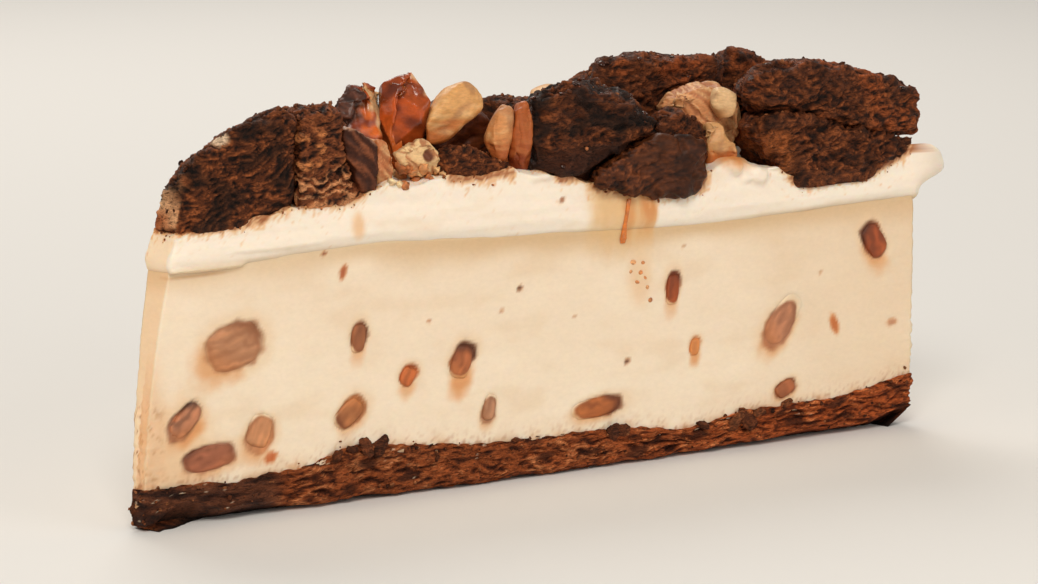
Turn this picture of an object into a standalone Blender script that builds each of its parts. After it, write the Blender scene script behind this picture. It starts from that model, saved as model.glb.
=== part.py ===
"""A cut slice of cheesecake: chocolate crust, pale filling with nuts, cream, and brownie and nut toppings.

Lengths are millimetres until a mesh is made, and metres from there. The whole cake's middle lies on the
Z axis and the slice's mid-line on +X while it is built. At the end the slice is moved so that the origin
lies under the middle of its box. A place on the slice is given as along (from the worn tip, along a cut
face), depth (into the cake from that face) and height. The front cut face looks to -Y, the back one to +Y.
"""

import math
import random
from dataclasses import dataclass

import bmesh
import bpy
import numpy as np
from mathutils import Matrix, Vector, noise
from mathutils.bvhtree import BVHTree
from mathutils.geometry import delaunay_2d_cdt

MM = 0.001
GAP = 0.3

# The whole cake and this share of it.
CAKE_RADIUS = 135.0
PORTIONS = 14
HALF_ANGLE = math.pi / PORTIONS

# The worn tip is a narrow face that leans back as it rises.
TIP_FOOT = 5.0
TIP_LEAN = 0.005
TIP_CURVE = 1.9
WORN_TIP = 4.8

# Levels between the layers, at the base of the rises and dips below. The cream's is its usual height.
CRUST_TOP = 5.4
FILLING_TOP = 34.2
CREAM_TOP = 41.2

# Rises and dips along the front and the back cut face: (along, rise, width).
CRUST_RISES = {
    "front": ((33.0, 3.0, 5.5), (44.0, 1.2, 8.0), (89.0, -1.6, 7.0), (129.0, 2.2, 7.0)),
    "back": ((20.0, 1.4, 7.0), (54.0, 2.2, 9.0), (77.0, -1.2, 7.0), (103.0, 1.8, 9.0)),
}
FILLING_RISES = {
    "front": ((34.0, 1.1, 16.0), (92.0, -1.0, 18.0)),
    "back": ((48.0, -0.9, 16.0), (104.0, 1.0, 18.0)),
}

# The cream's upper edge on the front and the back cut face: (along, height).
CREAM_EDGES = {
    "front": (
        (4.0, 38.2), (12.0, 39.2), (21.0, 40.2), (25.0, 41.4), (30.0, 40.5), (34.5, 40.5), (37.0, 42.8),
        (44.0, 43.6), (57.0, 42.6), (60.3, 43.6), (64.0, 42.4), (70.0, 41.0), (79.0, 39.4), (90.0, 38.1),
        (93.6, 41.6), (99.0, 41.5), (104.2, 41.4), (107.0, 37.8), (119.0, 37.8), (124.2, 38.9), (130.2, 39.0),
    ),
    "back": (
        (4.0, 38.8), (20.0, 40.4), (38.0, 42.0), (56.0, 40.8), (70.0, 40.0), (90.0, 41.2), (118.0, 42.0),
        (130.2, 40.6),
    ),
}
CREAM_LIP = 1.2
CREAM_LIP_WIDTH = 4.0
CORNER_DOLLOP = 2.4
CORNER_DOLLOP_REACH = 2.6
CORNER_DOLLOP_WIDTH = 4.5

# How finely the layers are meshed.
FACE_STEPS = 28
RIM_STEPS = 14
TIP_STEPS = 2
LATTICE_STEP = 6.6
PLAN_HEIGHT = 20.0
WALL_ROWS = {"crust": 2, "filling": 4, "cream": 4}

# Relief of the walls, outward. A grain is how much noise passes by in a millimetre, along or (along, up).
CRUST_CRAG = 0.9
CRUST_GRAIN = (0.32, 0.45)
CRUST_SET_BACK = 0.35
FILLING_WAVE = 0.22
FILLING_GRAIN = (0.09, 0.16)
CREAM_LEDGE = 0.75
CREAM_LEDGE_SHARE = 0.8
CREAM_WAVE = 0.2
CREAM_GRAIN = 0.12

# Ripples of the cream's top, between the cut faces.
RIPPLE = 0.5
RIPPLE_GRAIN = (0.21, 0.24)
RIPPLE_START = 0.7

# The crust's lower edge: a ragged lift, and more wear near the rim on the front face.
CRUST_LIFT = 1.5
CRUST_LIFT_GRAIN = 0.21
CRUST_WEAR = 2.2
CRUST_WEAR_START = 84.0
CRUST_WEAR_RUN = 46.0
CRUST_WEAR_ROUND_RIM = 25.0

# The cream's lumpy bead round the rim, and the blob at its front corner.
RIM_BEAD = 1.3
RIM_BEAD_GRAIN = 0.13
RIM_BEAD_CHANGE = 0.7
RIM_BLOB = 3.4
RIM_BLOB_WIDTH = 5.0
RIM_BLOB_UP = 0.7
RIM_BLOB_TALL = 0.36

# A chunk's outline sinks as it goes deeper into the cake, by this much a millimetre.
SINK = -0.22
EDGE_SLACK = 1e-6
TINY = 1e-9

# Blocks' corner cuts keep a share of the corner's distance, and drawn-in corners lose a twentieth a try.
SMALLEST_RAY = 0.35
CORNER_CUTS = 6
CORNER_KEPT = (0.62, 0.8)
CORNER_SKEW = 0.5
LUMP_GRAIN = 1.9
SEED_SPREAD = 40.0
GRAZING = 0.35
DRAW_TRIES = 80
DRAW_SHARE = 0.95
FRONT, BACK = -1, 1

COLOURS = {
    "crust": ((84, 42, 20), 0.75),
    "filling": ((242, 222, 190), 0.45),
    "cream": ((248, 234, 211), 0.4),
    "brownie": ((68, 37, 20), 0.45),
    "nutty_brownie": ((104, 57, 35), 0.5),
    "fudge": ((64, 33, 18), 0.25),
    "caramel": ((150, 66, 26), 0.15),
    "almond": ((216, 155, 96), 0.45),
    "hazelnut": ((188, 115, 66), 0.4),
    "toffee": ((178, 110, 68), 0.4),
    "set_nut": ((176, 112, 74), 0.45),
}


@dataclass
class Block:
    """A broken piece: a box with rounded edges and knocked-off corners, turned about its middle."""

    name: str
    along: float
    depth: float
    height: float
    size: tuple
    colour: str = "brownie"
    tilt: float = 0.0
    spin: float = 0.0
    cuts: int = 4
    crisp: float = 9.0
    side: int = BACK
    lumpy: float = 0.07
    overhang: float = 0.0


@dataclass
class Chunk:
    """A broken piece with an outline of (along, height) as seen square to the front face, and a thickness.

    The outline is that of its nearest part. As it goes deeper, the outline moves on along the face by lean
    and up by sink a millimetre.
    """

    name: str
    depth: float
    thickness: float
    outline: tuple
    colour: str = "brownie"
    lean: float = 0.0
    sink: float = SINK
    cuts: int = 4
    crisp: float = 9.0
    lumpy: float = 0.05
    overhang: float = 0.0
    side: int = FRONT


# Toppings, in the order in which they were laid: a later one gives way to an earlier one.
TOPPINGS = (
    Chunk(
        "brownie_tip", 5.2, 19.0,
        ((1.5, 37.4), (12.0, 38.6), (23.2, 39.8), (23.9, 49.3), (24.5, 55.9), (19.5, 55.0), (13.6, 52.4),
         (8.1, 49.2), (4.4, 45.8)),
        lean=0.35, sink=-0.3, cuts=7, crisp=14.0,
    ),
    Chunk(
        "chocolate_shard", 1.4, 2.8,
        ((31.5, 51.4), (32.6, 52.0), (36.3, 49.8), (37.5, 48.4), (37.0, 43.3), (34.6, 43.4), (32.6, 47.3)),
        "nutty_brownie", sink=0.0, cuts=3,
    ),
    Chunk(
        "brownie_nutty", 5.2, 11.4,
        ((24.5, 40.2), (34.8, 39.4), (36.2, 41.6), (35.4, 47.5), (34.0, 52.6), (31.0, 54.8), (25.0, 55.7)),
        "nutty_brownie", cuts=6, crisp=12.0,
    ),
    Chunk(
        "fudge_drape", 0.2, 4.4,
        ((71.2, 40.4), (73.2, 42.6), (79.3, 45.6), (82.3, 46.7), (90.7, 46.2), (92.0, 42.1), (92.6, 39.6),
         (90.6, 38.2), (84.9, 38.4), (78.3, 39.3)),
        "fudge", cuts=5, crisp=5.0, overhang=1.9,
    ),
    Chunk(
        "brownie_front", 6.6, 14.0,
        ((62.2, 46.6), (61.9, 53.2), (64.4, 55.2), (73.2, 55.3), (77.2, 53.6), (83.4, 49.0), (84.0, 44.7),
         (81.2, 40.3), (70.4, 40.4), (63.6, 42.4)),
        lean=0.62, cuts=7, crisp=6.0, overhang=0.9,
    ),
    Chunk(
        "brownie_shoulder", 6.0, 9.0,
        ((83.4, 49.4), (86.2, 50.8), (89.9, 49.4), (93.0, 48.0), (94.2, 45.6), (93.2, 41.0), (84.2, 41.0)),
        lean=0.4, crisp=6.0,
    ),
    Chunk(
        "caramel_nut", 9.4, 7.4,
        ((41.7, 51.7), (42.2, 56.8), (44.4, 58.6), (46.8, 58.7), (49.6, 54.3), (48.4, 49.0), (46.4, 43.0),
         (42.4, 43.0)),
        "caramel", lean=0.45, cuts=5, crisp=6.0,
    ),
    Chunk(
        "caramel_lump", 11.4, 7.4,
        ((34.8, 50.0), (36.7, 54.6), (38.0, 56.8), (42.5, 57.6), (43.8, 53.8), (43.0, 43.0), (36.4, 43.0)),
        "caramel", lean=0.5,
    ),
    Chunk(
        "caramel_slab", 11.6, 8.0,
        ((46.2, 45.0), (49.6, 52.3), (52.6, 53.9), (61.0, 50.4), (61.6, 46.0), (58.0, 43.0), (49.0, 43.0)),
        "fudge", lean=0.4, crisp=6.0,
    ),
    Chunk(
        "brownie_low", 4.4, 8.0,
        ((46.9, 45.4), (48.6, 48.2), (52.6, 47.3), (57.2, 45.6), (60.2, 42.6), (58.6, 41.6), (47.6, 42.6)),
        lean=0.5, cuts=5, crisp=10.0,
    ),
    Chunk(
        "almond_half", 6.8, 4.6,
        ((47.4, 49.1), (48.3, 51.4), (52.6, 55.4), (55.3, 56.1), (57.1, 55.0), (58.3, 52.4), (56.6, 51.3),
         (52.8, 49.3), (49.2, 48.3)),
        "almond", crisp=5.0,
    ),
    Chunk(
        "hazelnut_half_left", 3.2, 4.4,
        ((55.2, 48.2), (56.1, 50.6), (58.1, 53.1), (60.0, 53.0), (59.7, 49.2), (58.7, 45.8), (57.0, 45.7)),
        "hazelnut", lean=0.6, crisp=5.0,
    ),
    Chunk(
        "hazelnut_half_right", 2.6, 4.4,
        ((60.2, 53.1), (62.9, 53.3), (64.4, 51.7), (63.4, 49.2), (62.4, 47.2), (62.3, 44.6), (60.7, 43.4),
         (59.0, 45.4), (59.7, 49.3)),
        "hazelnut", lean=0.5, crisp=6.0,
    ),
    Chunk(
        "toffee_nut", 2.8, 4.4,
        ((35.6, 48.1), (37.6, 50.2), (40.6, 48.3), (40.8, 45.0), (38.8, 43.4), (36.6, 45.6)),
        "toffee", cuts=3,
    ),
    Chunk(
        "broken_nut", 2.4, 3.6,
        ((41.0, 48.1), (44.6, 49.3), (47.2, 49.0), (49.8, 45.3), (47.2, 44.2), (42.4, 45.8)),
        "almond", cuts=3, crisp=14.0,
    ),
    Chunk(
        "almond_big", 9.8, 8.0,
        ((89.2, 51.2), (91.7, 52.7), (98.4, 53.7), (100.0, 52.0), (103.0, 49.0), (103.6, 44.6), (97.0, 42.4),
         (92.4, 44.6)),
        "toffee", lean=0.45, crisp=8.0,
    ),
    Chunk(
        "almond_tip", 4.4, 2.8,
        ((95.9, 51.9), (98.1, 52.7), (100.1, 51.5), (100.6, 49.4), (98.6, 48.5), (96.2, 50.1)),
        "almond", cuts=3, crisp=6.0,
    ),
    Chunk(
        "bent_nut", 3.2, 4.4,
        ((92.2, 46.5), (93.9, 48.2), (96.3, 47.5), (97.2, 45.1), (99.6, 44.0), (98.6, 42.0), (95.8, 41.4),
         (93.7, 43.3)),
        "toffee", crisp=8.0,
    ),
    Chunk(
        "brownie_rim_lower", 6.0, 14.0,
        ((100.0, 46.9), (101.0, 48.7), (105.5, 49.4), (112.6, 47.2), (118.3, 45.5), (130.6, 43.4),
         (130.4, 39.4), (119.2, 37.2), (111.9, 36.8), (105.4, 37.0), (105.4, 41.6), (103.4, 44.2)),
        lean=0.3, cuts=6, crisp=12.0, overhang=0.6,
    ),
    Chunk(
        "brownie_rim_upper", 8.4, 18.0,
        ((99.4, 49.4), (98.1, 52.7), (101.4, 55.7), (108.6, 56.5), (117.7, 54.6), (127.2, 51.9),
         (132.0, 49.6), (132.6, 46.2), (131.2, 43.3), (121.6, 44.6), (112.1, 46.9)),
        lean=0.62, cuts=7, overhang=2.0,
    ),
    Chunk(
        "brownie_back", 20.6, 13.4,
        ((81.7, 53.2), (82.0, 55.7), (84.7, 56.9), (91.6, 57.0), (101.3, 55.7), (105.2, 54.5), (106.0, 43.0),
         (90.0, 43.0)),
        lean=0.62, cuts=6, crisp=8.0,
    ),
    Chunk(
        "brownie_knob", 26.0, 12.0,
        ((110.6, 44.0), (110.4, 54.9), (112.0, 56.2), (114.8, 55.3), (118.8, 53.3), (121.8, 51.0),
         (122.0, 44.0)),
        lean=0.5, cuts=5, crisp=7.0,
    ),
    Block("brownie_rear_tip", 34.0, 3.4, 45.4, (14.0, 7.4, 9.0), crisp=11.0),
    Block("brownie_rear_middle", 58.0, 7.0, 45.4, (19.0, 13.0, 8.6), tilt=5.0, cuts=5),
    Block("brownie_rear_rim", 119.0, 8.0, 45.2, (23.0, 15.0, 8.0), tilt=-4.0, cuts=5),
    Block("brownie_rear_inner", 84.0, 14.0, 45.0, (20.0, 14.0, 8.4), tilt=-7.0, cuts=5),
    Block("nut_rear_1", 46.0, 2.0, 44.9, (8.0, 4.0, 5.0), "almond", tilt=15.0, cuts=3, crisp=6.0),
    Block("nut_rear_2", 72.6, 4.0, 44.2, (8.6, 6.0, 5.0), "hazelnut", tilt=-10.0, cuts=3, crisp=6.0),
    Block("nut_rear_3", 78.0, 4.2, 45.6, (7.0, 5.6, 6.6), "toffee", tilt=-30.0, cuts=3, crisp=7.0),
    Block("nut_rear_4", 101.0, 6.4, 45.4, (12.0, 7.6, 6.6), "almond", tilt=8.0, spin=25.0, cuts=3),
    Block("nut_rear_5", 93.0, 3.6, 44.4, (7.4, 5.0, 5.0), "caramel", tilt=-18.0, cuts=3, crisp=6.0),
    Block("nut_rear_6", 71.0, 16.0, 44.6, (8.0, 6.4, 6.2), "hazelnut", tilt=12.0, cuts=3, crisp=6.0),
)

# Nuts set in the filling and cut through with it: (side, along, height, length, width, tilt).
SET_NUTS = (
    (FRONT, 14.0, 23.5, 9.2, 6.4, 14.0),
    (FRONT, 33.9, 22.8, 4.8, 2.6, 82.0),
    (FRONT, 41.7, 16.6, 3.2, 2.6, 60.0),
    (FRONT, 50.7, 17.9, 5.6, 3.8, 66.0),
    (FRONT, 32.2, 12.4, 5.8, 3.6, 36.0),
    (FRONT, 55.2, 10.9, 4.4, 2.4, 72.0),
    (FRONT, 18.2, 11.9, 5.4, 4.4, 68.0),
    (FRONT, 6.9, 14.2, 6.6, 3.4, 40.0),
    (FRONT, 10.2, 8.9, 8.4, 3.6, 6.0),
    (FRONT, 86.5, 24.5, 5.4, 2.6, 84.0),
    (FRONT, 106.6, 18.6, 9.0, 4.4, 50.0),
    (FRONT, 123.1, 28.4, 6.2, 4.2, -58.0),
    (FRONT, 90.5, 15.8, 3.0, 1.9, 80.0),
    (FRONT, 73.0, 8.8, 8.6, 3.0, 5.0),
    (FRONT, 106.9, 8.0, 4.2, 2.6, 24.0),
    (BACK, 21.0, 19.5, 6.6, 4.2, 30.0),
    (BACK, 37.0, 26.0, 4.8, 3.2, -55.0),
    (BACK, 46.0, 13.4, 5.2, 3.6, 12.0),
    (BACK, 63.0, 21.6, 8.0, 5.0, 38.0),
    (BACK, 80.0, 12.2, 4.6, 3.0, 75.0),
    (BACK, 93.0, 25.4, 6.0, 3.6, -22.0),
    (BACK, 109.0, 14.6, 6.6, 4.8, 62.0),
    (BACK, 124.0, 22.8, 5.0, 3.2, 20.0),
)
SET_NUT_DEPTH = 3.2
SET_NUT_CENTRE = 0.9
SET_NUT_SWELL = 1.12
LONG_SET_NUT = 7.0


# ---- Places on the slice


def face_axes(side):
    """Unit vectors along a cut face, to the left of that, and up, as the columns of a turn."""
    along = Vector((math.cos(HALF_ANGLE), side * math.sin(HALF_ANGLE), 0.0))
    up = Vector((0.0, 0.0, 1.0))
    return Matrix((along, up.cross(along), up)).transposed()


def inward(side):
    """Unit vector into the cake, square to a cut face."""
    return Vector((math.sin(HALF_ANGLE), -side * math.cos(HALF_ANGLE), 0.0))


def place(side, along, depth, height):
    """The point at a distance along a cut face, into the cake from it, and above the table."""
    axes = face_axes(side)
    return axes.col[0] * (WORN_TIP + along) + inward(side) * depth + axes.col[2] * height


def tip_reach(height):
    """How far the worn tip's face is from the cake's middle."""
    return TIP_FOOT + TIP_LEAN * height**TIP_CURVE


def spot(share, angle, height):
    """Plan position at a share of the way from the tip's face to the rim."""
    inner = tip_reach(height) / math.cos(angle)
    reach = inner + share * (CAKE_RADIUS - inner)
    return reach * math.cos(angle), reach * math.sin(angle)


def smooth_step(share):
    share = min(max(share, 0.0), 1.0)
    return share * share * (3.0 - 2.0 * share)


def rise(along, bumps):
    """Height added at a distance from the tip by bumps of (along, rise, width)."""
    return sum(height * math.exp(-(((along - middle) / width) ** 2)) for middle, height, width in bumps)


def place_along(x, y):
    return math.hypot(x, y) - WORN_TIP


def share_across(x, y):
    """0 at the front cut face and 1 at the back one."""
    return smooth_step(0.5 + 0.5 * math.atan2(y, x) / HALF_ANGLE)


def surface(x, y, base, rises):
    """Height of a level that follows one set of bumps at the front face and another at the back."""
    along = place_along(x, y)
    across = share_across(x, y)
    return base + (1.0 - across) * rise(along, rises["front"]) + across * rise(along, rises["back"])


def crust_top(x, y):
    return surface(x, y, CRUST_TOP, CRUST_RISES)


def filling_top(x, y):
    return surface(x, y, FILLING_TOP, FILLING_RISES)


def cream_top(x, y):
    across = share_across(x, y)
    front, back = (
        np.interp(place_along(x, y), *np.transpose(CREAM_EDGES[side])) for side in ("front", "back")
    )
    ripple = RIPPLE * math.sin(RIPPLE_GRAIN[0] * x + RIPPLE_START) * math.cos(RIPPLE_GRAIN[1] * y)
    from_rim = CAKE_RADIUS - math.hypot(x, y)
    lip = CREAM_LIP * math.exp(-((from_rim / CREAM_LIP_WIDTH) ** 2))
    round_rim = CAKE_RADIUS * (math.atan2(y, x) + HALF_ANGLE)
    off_corner = (from_rim / CORNER_DOLLOP_REACH) ** 2 + (round_rim / CORNER_DOLLOP_WIDTH) ** 2
    lip += CORNER_DOLLOP * math.exp(-off_corner)
    return (1.0 - across) * front + across * back + 4.0 * across * (1.0 - across) * ripple + lip


# ---- The plan that all three layers share


def boundary():
    """The slice's outline, counter-clockwise from the tip, as (share, angle, side, outward)."""
    front_out = -inward(FRONT)
    back_out = -inward(BACK)
    tip_out = Vector((-1.0, 0.0, 0.0))
    found = []
    for step in range(FACE_STEPS):
        outward = front_out if step else (front_out + tip_out).normalized()
        found.append((step / FACE_STEPS, -HALF_ANGLE, "front", outward))
    for step in range(RIM_STEPS + 1):
        angle = HALF_ANGLE * (2.0 * step / RIM_STEPS - 1.0)
        outward = Vector((math.cos(angle), math.sin(angle), 0.0))
        if step in (0, RIM_STEPS):
            outward = (outward + (back_out if step else front_out)).normalized()
        found.append((1.0, angle, "rim", outward))
    for step in range(1, FACE_STEPS + 1):
        outward = back_out if step < FACE_STEPS else (back_out + tip_out).normalized()
        found.append((1.0 - step / FACE_STEPS, HALF_ANGLE, "back", outward))
    for step in range(1, TIP_STEPS):
        found.append((0.0, HALF_ANGLE * (1.0 - 2.0 * step / TIP_STEPS), "tip", tip_out))
    return found


def lattice():
    """Evenly spread points inside the outline, as (share, angle)."""
    found = []
    inner = tip_reach(PLAN_HEIGHT)
    row_step = LATTICE_STEP * math.sqrt(0.75)
    rows = int(CAKE_RADIUS * math.sin(HALF_ANGLE) / row_step)
    margin = 0.62 * LATTICE_STEP
    for row in range(-rows, rows + 1):
        for column in range(int(CAKE_RADIUS / LATTICE_STEP) + 1):
            x = inner + LATTICE_STEP * (column + 0.5 * (row % 2))
            y = row * row_step
            from_faces = (x * math.sin(HALF_ANGLE)) - abs(y) * math.cos(HALF_ANGLE)
            if min(from_faces, x - inner, CAKE_RADIUS - math.hypot(x, y)) < margin:
                continue
            angle = math.atan2(y, x)
            start = inner / math.cos(angle)
            found.append(((math.hypot(x, y) - start) / (CAKE_RADIUS - start), angle))
    return found


def plan():
    """(outline, inner points, triangles): the triangulated plan of the slice."""
    outline = boundary()
    inside = lattice()
    places = [point[:2] for point in outline] + inside
    points = [Vector(spot(share, angle, PLAN_HEIGHT)) for share, angle in places]
    loop = [(k, (k + 1) % len(outline)) for k in range(len(outline))]
    made = delaunay_2d_cdt(points, loop, [], 1, 1e-5)
    source = [origin[0] for origin in made[3]]
    triangles = [[source[corner] for corner in face] for face in made[2]]
    return outline, places, triangles


# ---- Meshes and materials


def linear(channel):
    """Linear value of an sRGB channel from 0 to 255."""
    share = channel / 255.0
    return share / 12.92 if share <= 0.04045 else ((share + 0.055) / 1.055) ** 2.4


def material(name, colour):
    rgb, roughness = COLOURS[colour]
    made = bpy.data.materials.new(name)
    made.use_nodes = True
    shader = made.node_tree.nodes["Principled BSDF"]
    tint = (*(linear(channel) for channel in rgb), 1.0)
    shader.inputs["Base Color"].default_value = tint
    shader.inputs["Roughness"].default_value = roughness
    made.diffuse_color = tint
    return made


def solid(name, points, faces, colour):
    """An object from points in millimetres."""
    mesh = bpy.data.meshes.new(name)
    mesh.from_pydata([Vector(point) * MM for point in points], [], faces)
    mesh.shade_smooth()
    mesh.set_sharp_from_angle(angle=math.radians(40.0))
    mesh.materials.append(material(name, colour))
    made = bpy.data.objects.new(name, mesh)
    bpy.context.scene.collection.objects.link(made)
    return made


# ---- Layers


def wall_noise(side, along, up):
    """Noise on a wall: the front face has its own pattern, and the other walls share one."""
    return noise.noise(Vector((along, up, 3.0 if side == "front" else 9.0)))


def crust_relief(side, along, up, height):
    """Broken crumb: crags that stand in and out of the cut."""
    crag = wall_noise(side, along * CRUST_GRAIN[0], height * CRUST_GRAIN[1])
    return CRUST_CRAG * (crag - CRUST_SET_BACK)


def filling_relief(side, along, up, height):
    """The knife's shallow waves."""
    return FILLING_WAVE * wall_noise(side, along * FILLING_GRAIN[0], height * FILLING_GRAIN[1])


def cream_relief(side, along, up, height):
    """A ledge over the filling on the cut faces, and a lumpy bead round the rim."""
    if side == "rim":
        belly = math.sin(math.pi * (0.12 + 0.8 * up))
        bead = RIM_BEAD * (1.0 + RIM_BEAD_CHANGE * wall_noise(side, along * RIM_BEAD_GRAIN, up))
        off_blob = (along / RIM_BLOB_WIDTH) ** 2 + ((up - RIM_BLOB_UP) / RIM_BLOB_TALL) ** 2
        return belly * bead + RIM_BLOB * math.exp(-off_blob)
    ledge = CREAM_LEDGE * (1.0 - smooth_step(up / CREAM_LEDGE_SHARE))
    return ledge + CREAM_WAVE * wall_noise(side, along * CREAM_GRAIN, up)


def crust_lift(side, along):
    """How far the crust's lower edge is worn away above the table."""
    ragged = 0.5 + 0.5 * wall_noise(side, along * CRUST_LIFT_GRAIN, 0.0)
    worn = 0.0
    if side == "front":
        worn = smooth_step((along - CRUST_WEAR_START) / CRUST_WEAR_RUN)
    if side == "rim":
        worn = 1.0 - smooth_step(along / CRUST_WEAR_ROUND_RIM)
    return CRUST_LIFT * ragged**2 + CRUST_WEAR * worn


def layer(name, colour, shape, rows, low, high, levels, relief, lift=None):
    """A closed layer of the slice between two heights, with walls that carry relief."""
    outline, places, triangles = shape
    count = len(places)
    edge = len(outline)

    def face_distance(index):
        share, angle, side, _ = outline[index]
        if side == "rim":
            return CAKE_RADIUS * (angle + HALF_ANGLE)
        return share * (CAKE_RADIUS - TIP_FOOT)

    def moved(index, up, x, y, height):
        _, _, side, outward = outline[index]
        shift = relief(side, face_distance(index), up, height)
        return x + outward.x * shift, y + outward.y * shift

    points = []
    for up, level in ((0.0, levels[0]), (1.0, levels[1])):
        for index, (share, angle) in enumerate(places):
            x, y = spot(share, angle, level)
            height = high(x, y) if up else low(x, y)
            if lift and not up:
                height = lift(outline[index][2], face_distance(index)) if index < edge else 0.0
            if index < edge:
                x, y = moved(index, up, x, y, height)
            points.append((x, y, height))
    rings = [list(range(edge))]
    for row in range(1, rows):
        up = row / rows
        rings.append(range(len(points), len(points) + edge))
        for index in range(edge):
            share, angle = places[index]
            height = points[index][2] * (1.0 - up) + points[count + index][2] * up
            x, y = spot(share, angle, levels[0] * (1.0 - up) + levels[1] * up)
            points.append((*moved(index, up, x, y, height), height))
    rings.append([count + index for index in range(edge)])
    faces = [face[::-1] for face in triangles]
    faces += [[count + corner for corner in face] for face in triangles]
    for below, above in zip(rings, rings[1:]):
        for index in range(edge):
            after = (index + 1) % edge
            faces.append((below[index], below[after], above[after]))
            faces.append((below[index], above[after], above[index]))
    return solid(name, points, faces, colour)


def make_layers():
    shape = plan()
    crust = layer(
        "chocolate_crust", "crust", shape, WALL_ROWS["crust"],
        lambda x, y: 0.0, crust_top, (0.0, CRUST_TOP), crust_relief, crust_lift,
    )
    filling = layer(
        "cheesecake_filling", "filling", shape, WALL_ROWS["filling"],
        lambda x, y: crust_top(x, y) + GAP, filling_top, (CRUST_TOP, FILLING_TOP), filling_relief,
    )
    cream = layer(
        "cream_layer", "cream", shape, WALL_ROWS["cream"],
        lambda x, y: filling_top(x, y) + GAP, cream_top, (FILLING_TOP, CREAM_TOP), cream_relief,
    )
    return crust, filling, cream


# ---- Lumps


def ball(cuts):
    """Directions from the middle of a cube to points spread over it, and the faces between them."""
    made = bmesh.new()
    bmesh.ops.create_cube(made, size=2.0)
    bmesh.ops.subdivide_edges(made, edges=made.edges[:], cuts=cuts - 1, use_grid_fill=True)
    bmesh.ops.triangulate(made, faces=made.faces[:])
    corners = np.array([vertex.co[:] for vertex in made.verts])
    faces = [[vertex.index for vertex in face.verts] for face in made.faces]
    made.free()
    return np.tan(corners * math.pi / 4.0), faces


def block_presses(lump, half, directions, draw):
    """How hard each unit direction presses on each side and corner cut of a block: 1 over its distance."""
    normals = [Vector(row) * turn for row in np.eye(3) for turn in (1.0, -1.0)]
    offsets = [extent for extent in half for _ in range(2)]
    for _ in range(CORNER_CUTS):
        corner = Vector([draw.choice((-1.0, 1.0)) * draw.uniform(CORNER_SKEW, 1.0) for _ in half])
        normal = Vector([part / extent for part, extent in zip(corner, half)]).normalized()
        to_corner = sum(abs(part) * extent for part, extent in zip(normal, half))
        normals.append(normal)
        offsets.append(draw.uniform(*CORNER_KEPT) * to_corner)
    return np.clip(directions @ np.array([normal[:] for normal in normals]).T / np.array(offsets), 0.0, None)


def chunk_presses(lump, half, directions, draw):
    """How hard each unit direction presses on a chunk's outline and on its two broad sides."""
    middle = outline_box(lump)[0]
    corners = np.array(lump.outline) - middle
    edges = np.roll(corners, -1, axis=0) - corners
    into = directions[:, 1]
    seen = np.stack([directions[:, 0] - lump.lean * into, directions[:, 2] - lump.sink * into], axis=1)
    crossing = seen[:, None, 0] * edges[None, :, 1] - seen[:, None, 1] * edges[None, :, 0]
    crossing = np.where(np.abs(crossing) < TINY, TINY, crossing)
    ahead = (corners[:, 0] * edges[:, 1] - corners[:, 1] * edges[:, 0])[None, :] / crossing
    on_edge = (corners[None, :, 0] * seen[:, None, 1] - corners[None, :, 1] * seen[:, None, 0]) / crossing
    met = (on_edge >= -EDGE_SLACK) & (on_edge <= 1.0 + EDGE_SLACK) & (ahead > 0.0)
    nearest = np.where(met, ahead, np.inf).min(axis=1)
    return np.stack([1.0 / nearest, np.abs(into) / half[1]], axis=1)


def outline_box(lump):
    """(middle, half size) of a chunk's outline."""
    corners = np.array(lump.outline)
    low, high = corners.min(axis=0), corners.max(axis=0)
    return (low + high) / 2.0, (high - low) / 2.0


def frame_of(lump):
    """(middle, half sizes, turn) of a lump: tilt raises the end far from the tip, and spin is about Z."""
    if isinstance(lump, Chunk):
        (along, height), (half_length, half_height) = outline_box(lump)
        half = (half_length, lump.thickness / 2.0, half_height)
        behind = lump.depth - max(lump.depth - lump.thickness / 2.0, 0.0)
        middle = place(lump.side, along + lump.lean * behind, lump.depth, height + lump.sink * behind)
        return middle, half, face_axes(lump.side)
    turned = Matrix.Rotation(math.radians(lump.spin), 3, "Z") @ Matrix.Rotation(math.radians(-lump.tilt), 3, "Y")
    middle = place(lump.side, lump.along, lump.depth, lump.height)
    return middle, [extent / 2.0 for extent in lump.size], face_axes(lump.side) @ turned


def cut_planes(centre, overhang):
    """(point, outward) of the planes that a lump near a cut face, the tip or the rim ends at."""
    planes = [(-inward(side) * overhang, -inward(side)) for side in (FRONT, BACK)]
    steep = TIP_LEAN * TIP_CURVE * centre.z ** (TIP_CURVE - 1.0)
    planes.append((Vector((tip_reach(centre.z), 0.0, centre.z)), Vector((-1.0, 0.0, steep)).normalized()))
    outward = Vector((centre.x, centre.y, 0.0)).normalized()
    planes.append((outward * (CAKE_RADIUS + overhang), outward))
    return planes


def stop_at_planes(centre, rays, planes):
    for ray in rays:
        for point, outward in planes:
            ahead = ray.dot(outward)
            if ahead > 1e-9:
                limit = (point - centre).dot(outward) / ahead
                if limit < 1.0:
                    ray *= limit


def stop_at_neighbours(centre, rays, neighbours):
    """Ends each ray GAP short of whatever stands in its way."""
    for ray in rays:
        length = ray.length
        direction = ray / length
        for tree in neighbours:
            _, normal, _, distance = tree.ray_cast(centre, direction, length + 3.0 * GAP)
            if distance is not None:
                facing = max(abs(direction.dot(normal)), GRAZING)
                length = min(length, distance - GAP / facing)
        ray *= max(length, SMALLEST_RAY) / ray.length


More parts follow.
